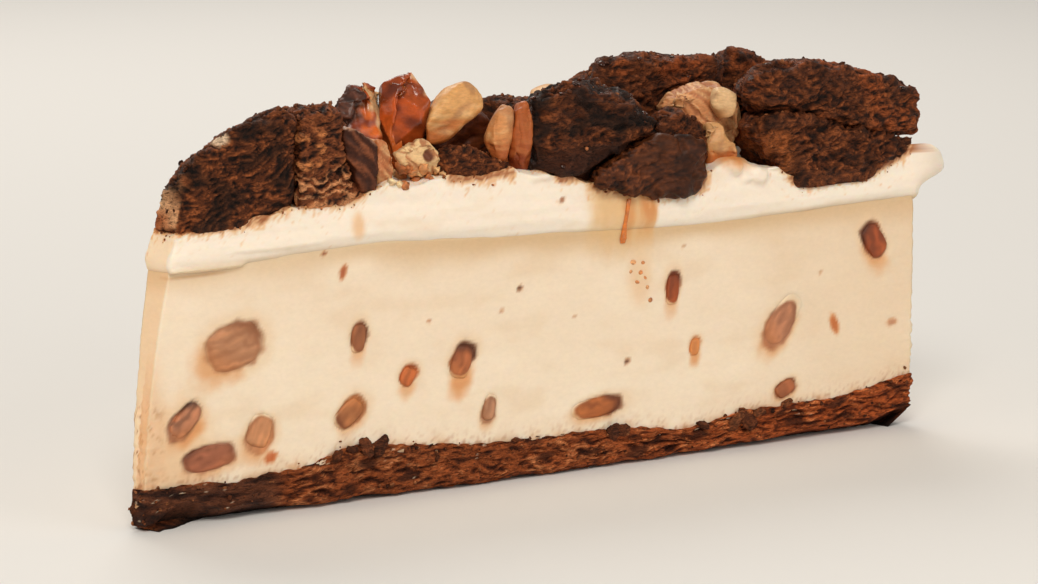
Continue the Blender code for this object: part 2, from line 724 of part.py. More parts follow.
def draw_clear(centre, rays, faces, neighbours):
    """Draws in the corners of faces that come within GAP of a neighbour."""
    for _ in range(DRAW_TRIES):
        swollen = [centre + ray * (1.0 + GAP / ray.length) for ray in rays]
        tree = BVHTree.FromPolygons(swollen, faces)
        touched = {face for other in neighbours for face, _ in tree.overlap(other)}
        if not touched:
            return
        for corner in {corner for face in touched for corner in faces[face]}:
            rays[corner] *= max(DRAW_SHARE, SMALLEST_RAY / rays[corner].length)


def lump_rays(lump, seed, grow=0.0):
    """(middle, rays from it to the lump's surface, faces)."""
    middle, half, turn = frame_of(lump)
    directions, faces = ball(lump.cuts)
    directions = directions * np.array(half)
    directions /= np.linalg.norm(directions, axis=1)[:, None]
    draw = random.Random(seed)
    presses = chunk_presses if isinstance(lump, Chunk) else block_presses
    reach = (presses(lump, half, directions, draw) ** lump.crisp).sum(axis=1) ** (-1.0 / lump.crisp)
    shift = Vector([draw.uniform(-SEED_SPREAD, SEED_SPREAD) for _ in range(3)])
    bumps = np.array([noise.noise(Vector(direction) * LUMP_GRAIN + shift) for direction in directions])
    reach = reach * (1.0 + lump.lumpy * bumps) + grow
    return middle, [turn @ Vector(direction) * float(far) for direction, far in zip(directions, reach)], faces


def tree_of(made):
    """Search tree of an object's mesh, in millimetres."""
    points = [vertex.co / MM for vertex in made.data.vertices]
    return BVHTree.FromPolygons(points, [polygon.vertices[:] for polygon in made.data.polygons])


def make_lump(lump, seed, neighbours):
    centre, rays, faces = lump_rays(lump, seed)
    stop_at_planes(centre, rays, cut_planes(centre, lump.overhang))
    stop_at_neighbours(centre, rays, neighbours)
    draw_clear(centre, rays, faces, neighbours)
    return solid(lump.name, [centre + ray for ray in rays], faces, lump.colour)


def make_toppings(cream):
    laid = [tree_of(cream)]
    for seed, lump in enumerate(TOPPINGS):
        laid.append(tree_of(make_lump(lump, seed, laid)))


# ---- Nuts set in the filling


def set_nuts():
    """The nuts that the cuts went through, as blocks a little larger than what shows, as corners come off."""
    for number, (side, along, height, length, width, tilt) in enumerate(SET_NUTS, 1):
        yield Block(
            f"set_nut_{number:02d}", along, SET_NUT_CENTRE, height,
            (SET_NUT_SWELL * length, SET_NUT_DEPTH, SET_NUT_SWELL * width), "set_nut",
            tilt=tilt, cuts=3 if length > LONG_SET_NUT else 2, crisp=4.0, side=side,
        )


def make_set_nuts(crust, filling):
    """Each nut ends flush with its cut face and sits in a pocket of the filling."""
    crust_tree = tree_of(crust)
    points, faces = [], []
    for seed, lump in enumerate(set_nuts(), 100):
        make_lump(lump, seed, [crust_tree])
        centre, rays, own_faces = lump_rays(lump, seed, grow=GAP)
        faces += [[len(points) + corner for corner in face] for face in own_faces]
        points += [centre + ray for ray in rays]
    pockets = solid("pocket_cutter", points, faces, "set_nut")
    pockets.hide_render = True
    pockets.display_type = "WIRE"
    filling.data.shade_flat()
    cut = filling.modifiers.new("pockets", "BOOLEAN")
    cut.operation = "DIFFERENCE"
    cut.solver = "EXACT"
    cut.object = pockets


# ---- The slice


def clear_scene():
    for made in list(bpy.data.objects):
        bpy.data.objects.remove(made, do_unlink=True)


def stand_on_origin():
    """Moves everything so that the origin lies under the middle of the slice's box."""
    shown = [made for made in bpy.data.objects if not made.hide_render]
    corners = np.array([vertex.co[:] for made in shown for vertex in made.data.vertices])
    low, high = corners.min(axis=0), corners.max(axis=0)
    shift = Vector((-(low[0] + high[0]) / 2.0, -(low[1] + high[1]) / 2.0, -low[2]))
    for made in bpy.data.objects:
        made.location = shift


def main():
    clear_scene()
    crust, filling, cream = make_layers()
    make_set_nuts(crust, filling)
    make_toppings(cream)
    stand_on_origin()


main()
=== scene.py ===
"""The looks of a slice of cheesecake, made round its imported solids.

Points are NumPy arrays in millimetres until a mesh is made, and colours are sRGB from 0 to 255. A place on
the slice is (along, depth, height): along a cut face from the worn tip, into the cake from it, and up.
"""

import itertools
import math

import bmesh
import bpy
import numpy as np
from mathutils import Matrix, Vector
from mathutils.bvhtree import BVHTree


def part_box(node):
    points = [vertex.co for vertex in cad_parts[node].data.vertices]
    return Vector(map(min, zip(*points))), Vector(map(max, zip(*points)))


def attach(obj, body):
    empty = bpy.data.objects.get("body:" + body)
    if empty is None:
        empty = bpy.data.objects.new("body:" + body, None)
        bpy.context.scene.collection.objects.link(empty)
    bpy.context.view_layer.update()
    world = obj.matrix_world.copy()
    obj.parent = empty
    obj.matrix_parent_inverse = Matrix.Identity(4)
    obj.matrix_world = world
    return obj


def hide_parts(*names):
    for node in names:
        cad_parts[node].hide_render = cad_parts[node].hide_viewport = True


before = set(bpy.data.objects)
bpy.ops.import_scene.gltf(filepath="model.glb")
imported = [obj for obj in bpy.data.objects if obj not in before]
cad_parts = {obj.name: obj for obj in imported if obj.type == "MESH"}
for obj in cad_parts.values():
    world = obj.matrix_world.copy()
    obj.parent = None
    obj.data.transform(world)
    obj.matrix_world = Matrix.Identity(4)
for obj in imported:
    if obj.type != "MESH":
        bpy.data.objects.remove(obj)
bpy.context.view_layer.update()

MM = 0.001

# The wedge that the three layers share.
CAKE_RADIUS = 135.0
HALF_ANGLE = math.pi / 14.0
WORN_TIP = 4.8
TIP_FOOT = 5.0
TIP_LEAN = 0.005
TIP_CURVE = 1.9
FRONT, BACK = -1, 1

# How finely the layers are meshed.
FACE_STEPS = 340
RIM_STEPS = 96
TIP_STEPS = 16
LEVEL_SMOOTHING = 30

# The camera, and the point it looks at.
CAMERA_TARGET = (-0.002905, -0.0088, 0.0256)
CAMERA_TURN = 46.857
CAMERA_PITCH = 9.6
CAMERA_LENS = 150.0
CAMERA_DISTANCE = 0.607

CREAM = (246, 232, 215)
CREAM_SHADE = (232, 210, 180)
FILLING = (240, 221, 196)
FILLING_SHADE = (222, 192, 156)
FILLING_LIGHT = (250, 235, 212)
# Tan painted shade of the cream's ledge: on the filling just under it, and on the cream's lowest edge.
UNDER_CREAM_SHADE = (212, 178, 136)
CRUST_DARK = (60, 26, 12)
CRUST_MID = (148, 76, 38)
CRUST_LIGHT = (206, 134, 86)
# Near-black of the crumb's deepest pores: the crumb's own dark, and painted shade in the pores.
PIT_DARK_AND_SHADE = (22, 9, 4)
CRUMB = (80, 39, 17)
STRAND = (150, 82, 42)
RUDDY = (158, 78, 36)
GLAZED = (52, 25, 12)
PALE_NUT = (232, 190, 138)
STAIN = (214, 140, 76)
DRIP = (212, 118, 48)
DROP = (218, 152, 100)


# ---- Numbers that stand for chance, the same each run


WORD = 0xFFFFFFFF
PRIMES = (73856093, 19349663, 83492791)
MIXER = np.uint64(2246822519)


def hashed(corners, seed):
    """A whole number up to WORD for each whole-number corner."""
    mixed = np.full(len(corners), (seed * 7919 + 12345) & WORD, np.uint64)
    for column, prime in zip(corners.T, PRIMES):
        mixed ^= (column.astype(np.int64) & WORD).astype(np.uint64) * np.uint64(prime)
        mixed &= np.uint64(WORD)
        mixed ^= mixed >> np.uint64(15)
        mixed *= MIXER
        mixed &= np.uint64(WORD)
        mixed ^= mixed >> np.uint64(13)
    return mixed


NEIGHBOURS = np.array(list(itertools.product((-1, 0, 1), repeat=3)), float)
SLOPES = NEIGHBOURS[np.abs(NEIGHBOURS).sum(axis=1) == 2]


def noise(points, seed=0):
    """Gradient noise from about -1 to 1, with features one unit across."""
    base = np.floor(points)
    inside = points - base
    fade = inside**3 * (inside * (inside * 6.0 - 15.0) + 10.0)
    base = base.astype(np.int64)
    total = np.zeros(len(points))
    for corner in itertools.product((0, 1), repeat=3):
        offset = np.array(corner)
        slope = SLOPES[(hashed(base + offset, seed) % np.uint64(len(SLOPES))).astype(np.int64)]
        weight = np.where(offset, fade, 1.0 - fade).prod(axis=1)
        total += weight * (slope * (inside - offset)).sum(axis=1)
    return total


def fractal(points, seed=0, octaves=3):
    """Noise with finer noise on it."""
    total = np.zeros(len(points))
    for octave in range(octaves):
        total += noise(points * 2.0**octave, seed + 31 * octave) * 0.55**octave
    return total


def cells(points, seed=0):
    """Distance to the nearest and the second of the points spread one to a unit cell."""
    base = np.floor(points).astype(np.int64)
    first = np.full(len(points), 9.0)
    second = first.copy()
    for offset in itertools.product((-1, 0, 1), repeat=3):
        cell = base + np.array(offset)
        spread = [hashed(cell, seed + 101 * axis) / float(WORD) for axis in range(3)]
        distance = np.linalg.norm(cell + np.stack(spread, axis=1) - points, axis=1)
        second = np.minimum(second, np.maximum(first, distance))
        first = np.minimum(first, distance)
    return first, second


def smooth(values, low, high):
    """0 below low, 1 above high, and a soft step between."""
    share = np.clip((values - low) / (high - low), 0.0, 1.0)
    return share * share * (3.0 - 2.0 * share)


def warp(places, size, reach, seed):
    """Places pushed about by noise, so that what is drawn on them isn't straight."""
    pushes = [noise(places / size, seed + axis) for axis in range(3)]
    return places + reach * np.stack(pushes, axis=1)


# ---- Colours


def linear(colour):
    share = np.asarray(colour, float) / 255.0
    return np.where(share <= 0.04045, share / 12.92, ((share + 0.055) / 1.055) ** 2.4)


def blend(under, over, share):
    """Mixes colours by a share for each point; either may be one colour, or a row for each point."""
    share = np.clip(np.asarray(share, float), 0.0, 1.0).reshape(-1, 1)
    return np.asarray(under, float) * (1.0 - share) + np.asarray(over, float) * share


# ---- Places on the slice


def cake_middle():
    low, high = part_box("cheesecake_filling")
    return np.array((high.x / MM - CAKE_RADIUS, (low.y + high.y) / 2.0 / MM, 0.0))


MIDDLE = cake_middle()


def face_axes(side):
    """Rows: along a cut face, into the cake from it, and up."""
    cosine, sine = math.cos(HALF_ANGLE), math.sin(HALF_ANGLE)
    return np.array(((cosine, side * sine, 0.0), (sine, -side * cosine, 0.0), (0.0, 0.0, 1.0)))


def to_face(points, side=FRONT):
    places = (points - MIDDLE) @ face_axes(side).T
    places[:, 0] -= WORN_TIP
    return places


def from_face(places, side=FRONT):
    return (np.asarray(places, float) + (WORN_TIP, 0.0, 0.0)) @ face_axes(side) + MIDDLE


# ---- Meshes


def tree_of(*nodes):
    """Search tree of CAD nodes, in millimetres."""
    points, faces = [], []
    for node in nodes:
        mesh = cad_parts[node].data
        faces += [[len(points) + corner for corner in face.vertices] for face in mesh.polygons]
        points += [vertex.co / MM for vertex in mesh.vertices]
    return BVHTree.FromPolygons(points, faces)


def mesh_arrays(mesh):
    points = np.empty(len(mesh.vertices) * 3)
    mesh.vertices.foreach_get("co", points)
    faces = np.empty(len(mesh.loops), np.int64)
    mesh.loops.foreach_get("vertex_index", faces)
    return points.reshape(-1, 3) / MM, faces.reshape(len(mesh.polygons), -1)


def normals_of(points, faces):
    """Unit normals of points on a mesh whose faces all have as many corners."""
    first, second = points[faces[:, 2]] - points[faces[:, 0]], points[faces[:, -1]] - points[faces[:, 1]]
    across = np.cross(first, second)
    total = np.zeros_like(points)
    for corner in faces.T:
        for axis in range(3):
            total[:, axis] += np.bincount(corner, across[:, axis], len(points))
    return total / np.maximum(np.linalg.norm(total, axis=1, keepdims=True), 1e-12)


def relax(points, faces, times):
    """Moves each point to the middle of its neighbours."""
    ends = np.concatenate([faces[:, [k, (k + 1) % faces.shape[1]]] for k in range(faces.shape[1])])
    count = np.bincount(ends[:, 0], minlength=len(points))[:, None] + 1e-9
    for _ in range(times):
        sums = [np.bincount(ends[:, 0], points[ends[:, 1], axis], len(points)) for axis in range(3)]
        points = 0.4 * points + 0.6 * np.stack(sums, axis=1) / count
    return points


WELD_WITHIN = 0.00001
SOFTENING = 2


def fine_copy(node, voxel):
    """A node's surface in small even quads, with its facets softened."""
    welded = bpy.data.objects.new("fine_copy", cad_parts[node].data.copy())
    bpy.context.scene.collection.objects.link(welded)
    weld = welded.modifiers.new("weld", "WELD")
    weld.merge_threshold = WELD_WITHIN
    remesh = welded.modifiers.new("even", "REMESH")
    remesh.mode = "VOXEL"
    remesh.voxel_size = voxel * MM
    evaluated = welded.evaluated_get(bpy.context.evaluated_depsgraph_get())
    points, faces = mesh_arrays(evaluated.to_mesh())
    evaluated.to_mesh_clear()
    bpy.data.objects.remove(welded, do_unlink=True)
    return relax(points, faces, SOFTENING), faces


SURFACES = {}


def piece(name, points, faces, colours, wet, skin, slot, nodes=()):
    """A finished piece: mesh, painted colour and wetness, material, and the nodes it stands for; slot is not
    used.
    """
    SURFACES[name] = (points, faces)
    mesh = bpy.data.meshes.new(name)
    mesh.from_pydata((points * MM).tolist(), [], faces if isinstance(faces, list) else faces.tolist())
    mesh.shade_smooth()
    paint = mesh.attributes.new("paint", "FLOAT_COLOR", "POINT")
    paint.data.foreach_set("color", np.column_stack((linear(colours), np.ones(len(points)))).ravel())
    gloss = mesh.attributes.new("wet", "FLOAT", "POINT")
    gloss.data.foreach_set("value", np.clip(np.broadcast_to(wet, len(points)), 0.0, 1.0))
    mesh.materials.append(skin)
    made = bpy.data.objects.new(name, mesh)
    bpy.context.scene.collection.objects.link(made)
    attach(made, "root")
    if nodes:
        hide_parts(*nodes)


# ---- Materials


def grain_height(tree, grain, ridged):
    """Fine relief from 0 to 1 as a node output: plain grain, or thin ridges with wide furrows between."""
    where = tree.nodes.new("ShaderNodeTexCoord")
    stretch = tree.nodes.new("ShaderNodeMapping")
    stretch.inputs["Scale"].default_value = [1.0 / (size * MM) for size in grain]
    tree.links.new(where.outputs["Object"], stretch.inputs["Vector"])
    fine = tree.nodes.new("ShaderNodeTexNoise")
    fine.inputs["Scale"].default_value = 1.0
    fine.inputs["Detail"].default_value = 4.0
    fine.inputs["Roughness"].default_value = 0.6
    tree.links.new(stretch.outputs["Vector"], fine.inputs["Vector"])
    height = fine.outputs["Fac"]
    if ridged:
        fine.inputs["Distortion"].default_value = 0.7
        for operation, value in (("SUBTRACT", 0.5), ("ABSOLUTE", 0.0), ("MULTIPLY", -5.0), ("ADD", 1.0)):
            step = tree.nodes.new("ShaderNodeMath")
            step.operation = operation
            step.inputs[1].default_value = value
            tree.links.new(height, step.inputs[0])
            height = step.outputs["Value"]
    return height


def skin(
    name, rough=(0.55, 0.3), grain=(0.5, 0.5, 0.5), depth=0.06, mottle=(0.88, 1.12), ridged=False,
    shine=0.5, scatter=0.0, reach=0.0, coat=0.0,
):
    """Painted food: rough as (dry, wet), mottle as (darkest, lightest), and grain, depth and reach in mm."""
    made = bpy.data.materials.new(name)
    made.use_nodes = True
    tree = made.node_tree
    shader = tree.nodes["Principled BSDF"]
    shader.inputs["Specular IOR Level"].default_value = shine
    paint = tree.nodes.new("ShaderNodeAttribute")
    paint.attribute_name = "paint"
    wet = tree.nodes.new("ShaderNodeAttribute")
    wet.attribute_name = "wet"
    height = grain_height(tree, grain, ridged)
    shade = tree.nodes.new("ShaderNodeMapRange")
    shade.inputs["From Min"].default_value = 0.2 if ridged else 0.3
    shade.inputs["From Max"].default_value = 1.0 if ridged else 0.7
    shade.inputs["To Min"].default_value, shade.inputs["To Max"].default_value = mottle
    tree.links.new(height, shade.inputs["Value"])
    tint = tree.nodes.new("ShaderNodeVectorMath")
    tint.operation = "SCALE"
    tree.links.new(paint.outputs["Color"], tint.inputs[0])
    tree.links.new(shade.outputs["Result"], tint.inputs["Scale"])
    tree.links.new(tint.outputs["Vector"], shader.inputs["Base Color"])
    dull = tree.nodes.new("ShaderNodeMapRange")
    dull.inputs["To Min"].default_value = rough[0]
    dull.inputs["To Max"].default_value = rough[1]
    tree.links.new(wet.outputs["Fac"], dull.inputs["Value"])
    tree.links.new(dull.outputs["Result"], shader.inputs["Roughness"])
    bump = tree.nodes.new("ShaderNodeBump")
    bump.inputs["Distance"].default_value = depth * MM
    bump.inputs["Strength"].default_value = 1.0
    tree.links.new(height, bump.inputs["Height"])
    tree.links.new(bump.outputs["Normal"], shader.inputs["Normal"])
    if scatter:
        shader.inputs["Subsurface Weight"].default_value = scatter
        shader.inputs["Subsurface Radius"].default_value = (1.0, 0.6, 0.35)
        shader.inputs["Subsurface Scale"].default_value = reach * MM
    if coat:
        shader.inputs["Coat Weight"].default_value = coat
        shader.inputs["Coat Roughness"].default_value = 0.12
    return made


SKINS = {
    "crust": skin("crust", (0.8, 0.4), (1.2, 1.2, 0.36), 0.26, (0.5, 1.55), ridged=True, shine=0.18),
    "filling": skin(
        "filling", (0.6, 0.45), (0.9, 0.9, 0.5), 0.03, (0.975, 1.025), shine=0.3, scatter=0.3, reach=1.6
    ),
    "cream": skin(
        "cream", (0.55, 0.4), (1.2, 1.2, 0.7), 0.04, (0.98, 1.02), shine=0.35, scatter=0.35, reach=2.0
    ),
    "brownie": skin("brownie", (0.7, 0.14), (0.95, 0.95, 0.4), 0.2, (0.45, 1.6), ridged=True, shine=0.2),
    "fudge": skin("fudge", (0.5, 0.2), (0.8, 0.8, 0.35), 0.08, (0.7, 1.3), shine=0.16),
    "caramel": skin(
        "caramel", (0.5, 0.12), (1.3, 1.3, 1.0), 0.08, (0.75, 1.25),
        shine=0.35, scatter=0.15, reach=1.0, coat=0.15,
    ),
    "nut": skin("nut", (0.55, 0.25), (0.8, 0.8, 0.3), 0.07, (0.85, 1.15), shine=0.3, scatter=0.12, reach=1.0),
}


# ---- Layers


def spot(share, angle, height):
    """Points at a share of the way from the worn tip to the rim, for arrays of each."""
    inner = (TIP_FOOT + TIP_LEAN * np.maximum(height, 0.0) ** TIP_CURVE) / np.cos(angle)
    reach = inner + share * (CAKE_RADIUS - inner)
    return np.stack((reach * np.cos(angle), reach * np.sin(angle), height), axis=-1) + MIDDLE


SHARES = np.linspace(0.0, 1.0, FACE_STEPS + 1)
ANGLES = np.linspace(-HALF_ANGLE, HALF_ANGLE, RIM_STEPS + 1)


def over_wedge(heights):
    """Points at a grid of heights over the whole wedge."""
    return spot(SHARES[:, None] + 0.0 * ANGLES, ANGLES + 0.0 * SHARES[:, None], heights)


# Levels are read a little inside the walls, and from well above or below.
KEPT_IN = 0.012
ANGLE_KEPT = 0.96
RAY_ABOVE, RAY_BELOW = 90.0, -9.0


def level(node, guess, from_above=True):
    """Heights of a node's top or underside over the whole wedge, as a grid of share by angle."""
    tree = tree_of(node)
    shares = np.clip(SHARES, KEPT_IN, 1.0 - KEPT_IN)[:, None] + 0.0 * ANGLES
    angles = ANGLE_KEPT * ANGLES + 0.0 * shares
    sites = spot(shares, angles, np.full_like(shares, guess))
    start, way = (RAY_ABOVE, -1.0) if from_above else (RAY_BELOW, 1.0)
    grid = np.full(shares.shape, float(guess))
    for row, column in np.ndindex(grid.shape):
        x, y, _ = sites[row, column]
        found = tree.ray_cast(Vector((x, y, start)), Vector((0.0, 0.0, way)))[0]
        if found:
            grid[row, column] = found.z
    for _ in range(LEVEL_SMOOTHING):
        for axis in (0, 1):
            last = grid.shape[axis] - 1
            before = np.take(grid, [0, *range(last)], axis)
            after = np.take(grid, [*range(1, last + 1), last], axis)
            grid = 0.5 * grid + 0.25 * (before + after)
    return grid


def outline(tip_steps):
    """Rows of (share, angle, side, level row, level column), counter-clockwise from the front of the tip."""
    last_row, last_column = FACE_STEPS, RIM_STEPS
    front = [(k / FACE_STEPS, -HALF_ANGLE, 0, k, 0) for k in range(FACE_STEPS)]
    rim = [(1.0, ANGLES[k], 1, last_row, k) for k in range(RIM_STEPS)]
    back = [(1.0 - k / FACE_STEPS, HALF_ANGLE, 2, last_row - k, last_column) for k in range(FACE_STEPS)]
    tip = [
        (0.0, HALF_ANGLE * (1.0 - 2.0 * k / tip_steps), 3, 0, round(last_column * (1.0 - k / tip_steps)))
        for k in range(tip_steps)
    ]
    return np.array(front + rim + back + tip)


def outward_of(sides, angles):
    """Unit vectors out of the walls: front, rim, back and tip."""
    radial = np.stack((np.cos(angles), np.sin(angles), 0.0 * angles), axis=1)
    fixed = np.array((-face_axes(FRONT)[1], (0.0, 0.0, 0.0), -face_axes(BACK)[1], (-1.0, 0.0, 0.0)))
    found = np.where(sides[:, None] == 1, radial, fixed[sides])
    around = found + np.roll(found, 1, axis=0) + np.roll(found, -1, axis=0)
    return around / np.linalg.norm(around, axis=1, keepdims=True)


def make_layer(low, high, rows, relief, grid_top=False, foot=0.0):
    """(points, faces) of a layer between two level grids; relief gives the walls' shift outward.

    The walls' points come first, row by row, then the inner points of the top where it shows. A foot is
    the width of a last strip underneath that leads in to the table.
    """
    loop = outline(RIM_STEPS if grid_top else TIP_STEPS)
    count = len(loop)
    row, column = loop[:, 3].astype(int), loop[:, 4].astype(int)
    sides = loop[:, 2].astype(int)
    outward = outward_of(sides, loop[:, 1])
    bottom, top = low[row, column], high[row, column]
    ups = np.linspace(0.0, 1.0, rows + 1)
    heights = (bottom[None, :] * (1.0 - ups[:, None]) + top[None, :] * ups[:, None]).ravel()
    walls = spot(np.tile(loop[:, 0], rows + 1), np.tile(loop[:, 1], rows + 1), heights)
    shift = relief(walls, np.tile(sides, rows + 1), np.repeat(ups, count))
    walls += np.tile(outward, (rows + 1, 1)) * shift[:, None]
    index = np.arange(count)
    after = (index + 1) % count
    faces = tube(count, rows)
    points = walls
    if foot:
        ring = walls[:count] - outward * foot
        ring[:, 2] = 0.0
        points = np.concatenate((walls, ring))
        under = np.stack((len(walls) + index, len(walls) + after, after, index), axis=1)
        faces += under.tolist()
        faces += ladder(len(walls) + index, True)
    else:
        faces += ladder(index, True)
    if grid_top:
        faces += lid(rows * count, len(points))
        points = np.concatenate((points, over_wedge(high)[1:-1, 1:-1].reshape(-1, 3)))
    else:
        faces += ladder(rows * count + index, False)
    return points, faces


def tube(count, rows):
    """Quads between rings of count points, rows of them."""
    index = np.arange(count)
    after = (index + 1) % count
    faces = []
    for start in range(0, rows * count, count):
        quads = np.stack((start + index, start + after, start + count + after, start + count + index), axis=1)
        faces += quads.tolist()
    return faces


def ladder(ring, downward):
    """Closes a ring with strips from the front face to the back one, and with one face at the rim."""
    last = FACE_STEPS + RIM_STEPS
    front = ring[: FACE_STEPS + 1]
    back = ring[last : last + FACE_STEPS + 1][::-1]
    faces = [[front[0], front[1], back[1], *ring[last + FACE_STEPS :]]]
    faces += [[front[k], front[k + 1], back[k + 1], back[k]] for k in range(1, FACE_STEPS)]
    faces.append(ring[FACE_STEPS : last + 1])
    return [[int(corner) for corner in (face[::-1] if downward else face)] for face in faces]


def lid(start, inner_start):
    """Quads of a top whose edge is the wall's last ring."""
    ids = np.empty((FACE_STEPS + 1, RIM_STEPS + 1), int)
    ids[1:-1, 1:-1] = inner_start + np.arange((FACE_STEPS - 1) * (RIM_STEPS - 1)).reshape(FACE_STEPS - 1, -1)
    ids[:-1, 0] = start + np.arange(FACE_STEPS)
    ids[-1, :-1] = start + FACE_STEPS + np.arange(RIM_STEPS)
    ids[:0:-1, -1] = start + FACE_STEPS + RIM_STEPS + np.arange(FACE_STEPS)
    ids[0, :0:-1] = start + 2 * FACE_STEPS + RIM_STEPS + np.arange(RIM_STEPS)
    quads = np.stack((ids[:-1, :-1], ids[1:, :-1], ids[1:, 1:], ids[:-1, 1:]), axis=-1)
    return quads.reshape(-1, 4).tolist()


LEVELS = {
    "crust": level("chocolate_crust", 5.4),
    "filling": level("cheesecake_filling", 34.0),
    "cream": level("cream_layer", 41.0),
}
CRUST_FOOT = level("chocolate_crust", 0.0, from_above=False)


def wall_run(points, sides):
    """Distance along a wall: from the cake's middle on a cut face, and from the front corner on the rim."""
    away = points - MIDDLE
    radius = np.hypot(away[:, 0], away[:, 1])
    around = CAKE_RADIUS * (np.arctan2(away[:, 1], away[:, 0]) + HALF_ANGLE)
    return np.where(sides == 1, around, radius)


# ---- The nuts set in the filling, as ellipses on the cut faces


def nut_ellipse(node):
    """(side, middle, long axis, half sizes) of a set nut on its cut face."""
    points = np.array([vertex.co[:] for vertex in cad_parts[node].data.vertices]) / MM
    side = FRONT if abs(to_face(points, FRONT)[:, 1]).max() < 6.0 else BACK
    flat_places = to_face(points, side)[:, ::2]
    low, high = flat_places.min(axis=0), flat_places.max(axis=0)
    middle = (low + high) / 2.0
    _, axes = np.linalg.eigh(np.cov((flat_places - middle).T))
    turned = (flat_places - middle) @ axes
    return side, middle, axes[:, ::-1], np.abs(turned).max(axis=0)[::-1]


def from_ellipse(places, ellipse, offset=(0.0, 0.0)):
    """How far out places are, as a share of the ellipse's size: 1 is its slightly squared edge."""
    _, middle, axes, half = ellipse
    turned = np.abs((places[:, ::2] - middle - offset) @ axes) / half
    return (turned**2.5).sum(axis=1) ** 0.4


SET_NUTS = sorted(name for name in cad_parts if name.startswith("set_nut"))
NUT_SHAPES = {name: nut_ellipse(name) for name in SET_NUTS}

# How set nuts are painted: (body, dark part, way to the dark part, way the stain runs in mm, its strength,
# way in which the nut narrows).
NUT_STYLES = (
    ((180, 126, 90), (134, 80, 50), (0.5, 0.85), (-2.2, -2.0), 0.7, (0.0, 0.0)),
    ((152, 92, 58), (92, 48, 28), (0.9, 0.2), (-0.1, -1.5), 0.5, (-0.1, -0.5)),
    ((184, 98, 50), (122, 56, 26), (0.2, 0.5), (-0.3, -1.6), 0.6, (0.0, -0.3)),
    ((172, 98, 58), (76, 38, 22), (0.7, 1.0), (-0.3, -2.4), 0.9, (0.1, -0.75)),
    ((172, 108, 64), (112, 60, 34), (-0.7, -0.6), (0.3, -0.9), 0.5, (-0.3, -0.2)),
    ((176, 126, 94), (116, 70, 46), (0.5, 0.5), (-0.4, -1.2), 0.4, (0.3, 0.5)),
    ((196, 136, 94), (136, 82, 52), (-0.6, 0.6), (-1.0, -1.6), 0.65, (0.0, 0.3)),
    ((186, 124, 90), (40, 22, 17), (-0.3, 1.0), (0.2, -1.6), 0.9, (0.5, 0.1)),
    ((158, 94, 66), (88, 46, 30), (-0.5, 0.8), (0.3, -0.9), 0.55, (0.0, 0.0)),
    ((150, 70, 32), (88, 36, 18), (0.4, 0.6), (-0.3, -1.6), 0.5, (0.0, -0.5)),
    ((178, 120, 88), (126, 76, 52), (0.8, 0.3), (-0.9, -1.9), 0.75, (0.55, 0.6)),
    ((150, 70, 34), (72, 32, 16), (-0.8, 0.3), (-0.3, -1.8), 0.7, (0.6, -0.2)),
    ((210, 134, 76), (170, 92, 44), (0.0, 0.5), (0.0, -1.5), 0.8, (0.0, -0.3)),
    ((172, 96, 48), (96, 48, 26), (0.9, 0.2), (-0.6, -0.8), 0.6, (-0.3, 0.0)),
    ((160, 92, 56), (104, 56, 34), (0.3, 0.5), (0.0, -0.8), 0.5, (0.0, 0.0)),
)
NUT_SPREAD = 1.14


def paint_nut(colours, places, ellipse, style, seed):
    """A cut nut and the brown it leaves in the filling, more of it below."""
    body, dark, dark_way, run, strength, narrow = style
    _, middle, axes, half = ellipse
    away = places[:, ::2] - middle
    narrowed = np.clip(1.0 + away @ np.array(narrow) / half.max(), 0.9, 1.8)
    ragged = 0.13 * noise(places / 1.7, 200 + seed) + 0.04 * noise(places / 0.8, 230 + seed)
    far = NUT_SPREAD * from_ellipse(places, ellipse) * narrowed + ragged
    stain_far = NUT_SPREAD * from_ellipse(places, ellipse, run) + 1.6 * ragged
    colours = blend(colours, (232, 200, 162), 0.6 * smooth(-far, -1.7, -0.95))
    colours = blend(colours, (218, 150, 94), strength * smooth(-stain_far, -1.35, -0.35))
    turned = away @ axes
    grain = np.column_stack((turned[:, 0] / 3.0, turned[:, 1] / 0.9, places[:, 1]))
    streaks = noise(grain + 0.5 * noise(places / 1.6, 260 + seed)[:, None], 330 + seed)
    inner = blend(body, np.multiply(body, 1.14), 0.8 * smooth(streaks, 0.0, 0.45))
    inner = blend(inner, dark, 0.3 * smooth(-streaks, 0.0, 0.5))
    towards = away @ np.array(dark_way) / half.mean()
    inner = blend(inner, dark, 0.85 * smooth(towards + 0.4 * ragged, 0.2, 0.85) * smooth(far, 0.35, 0.85))
    inner = blend(inner, (206, 124, 66), 0.45 * strength * smooth(-towards, 0.1, 0.8))
    inner = blend(inner, dark, 0.25 * smooth(far, 0.74, 0.95))
    return blend(colours, inner, 0.97 * smooth(-far, -1.14, -0.88))


# ---- Marks painted on the front cut face


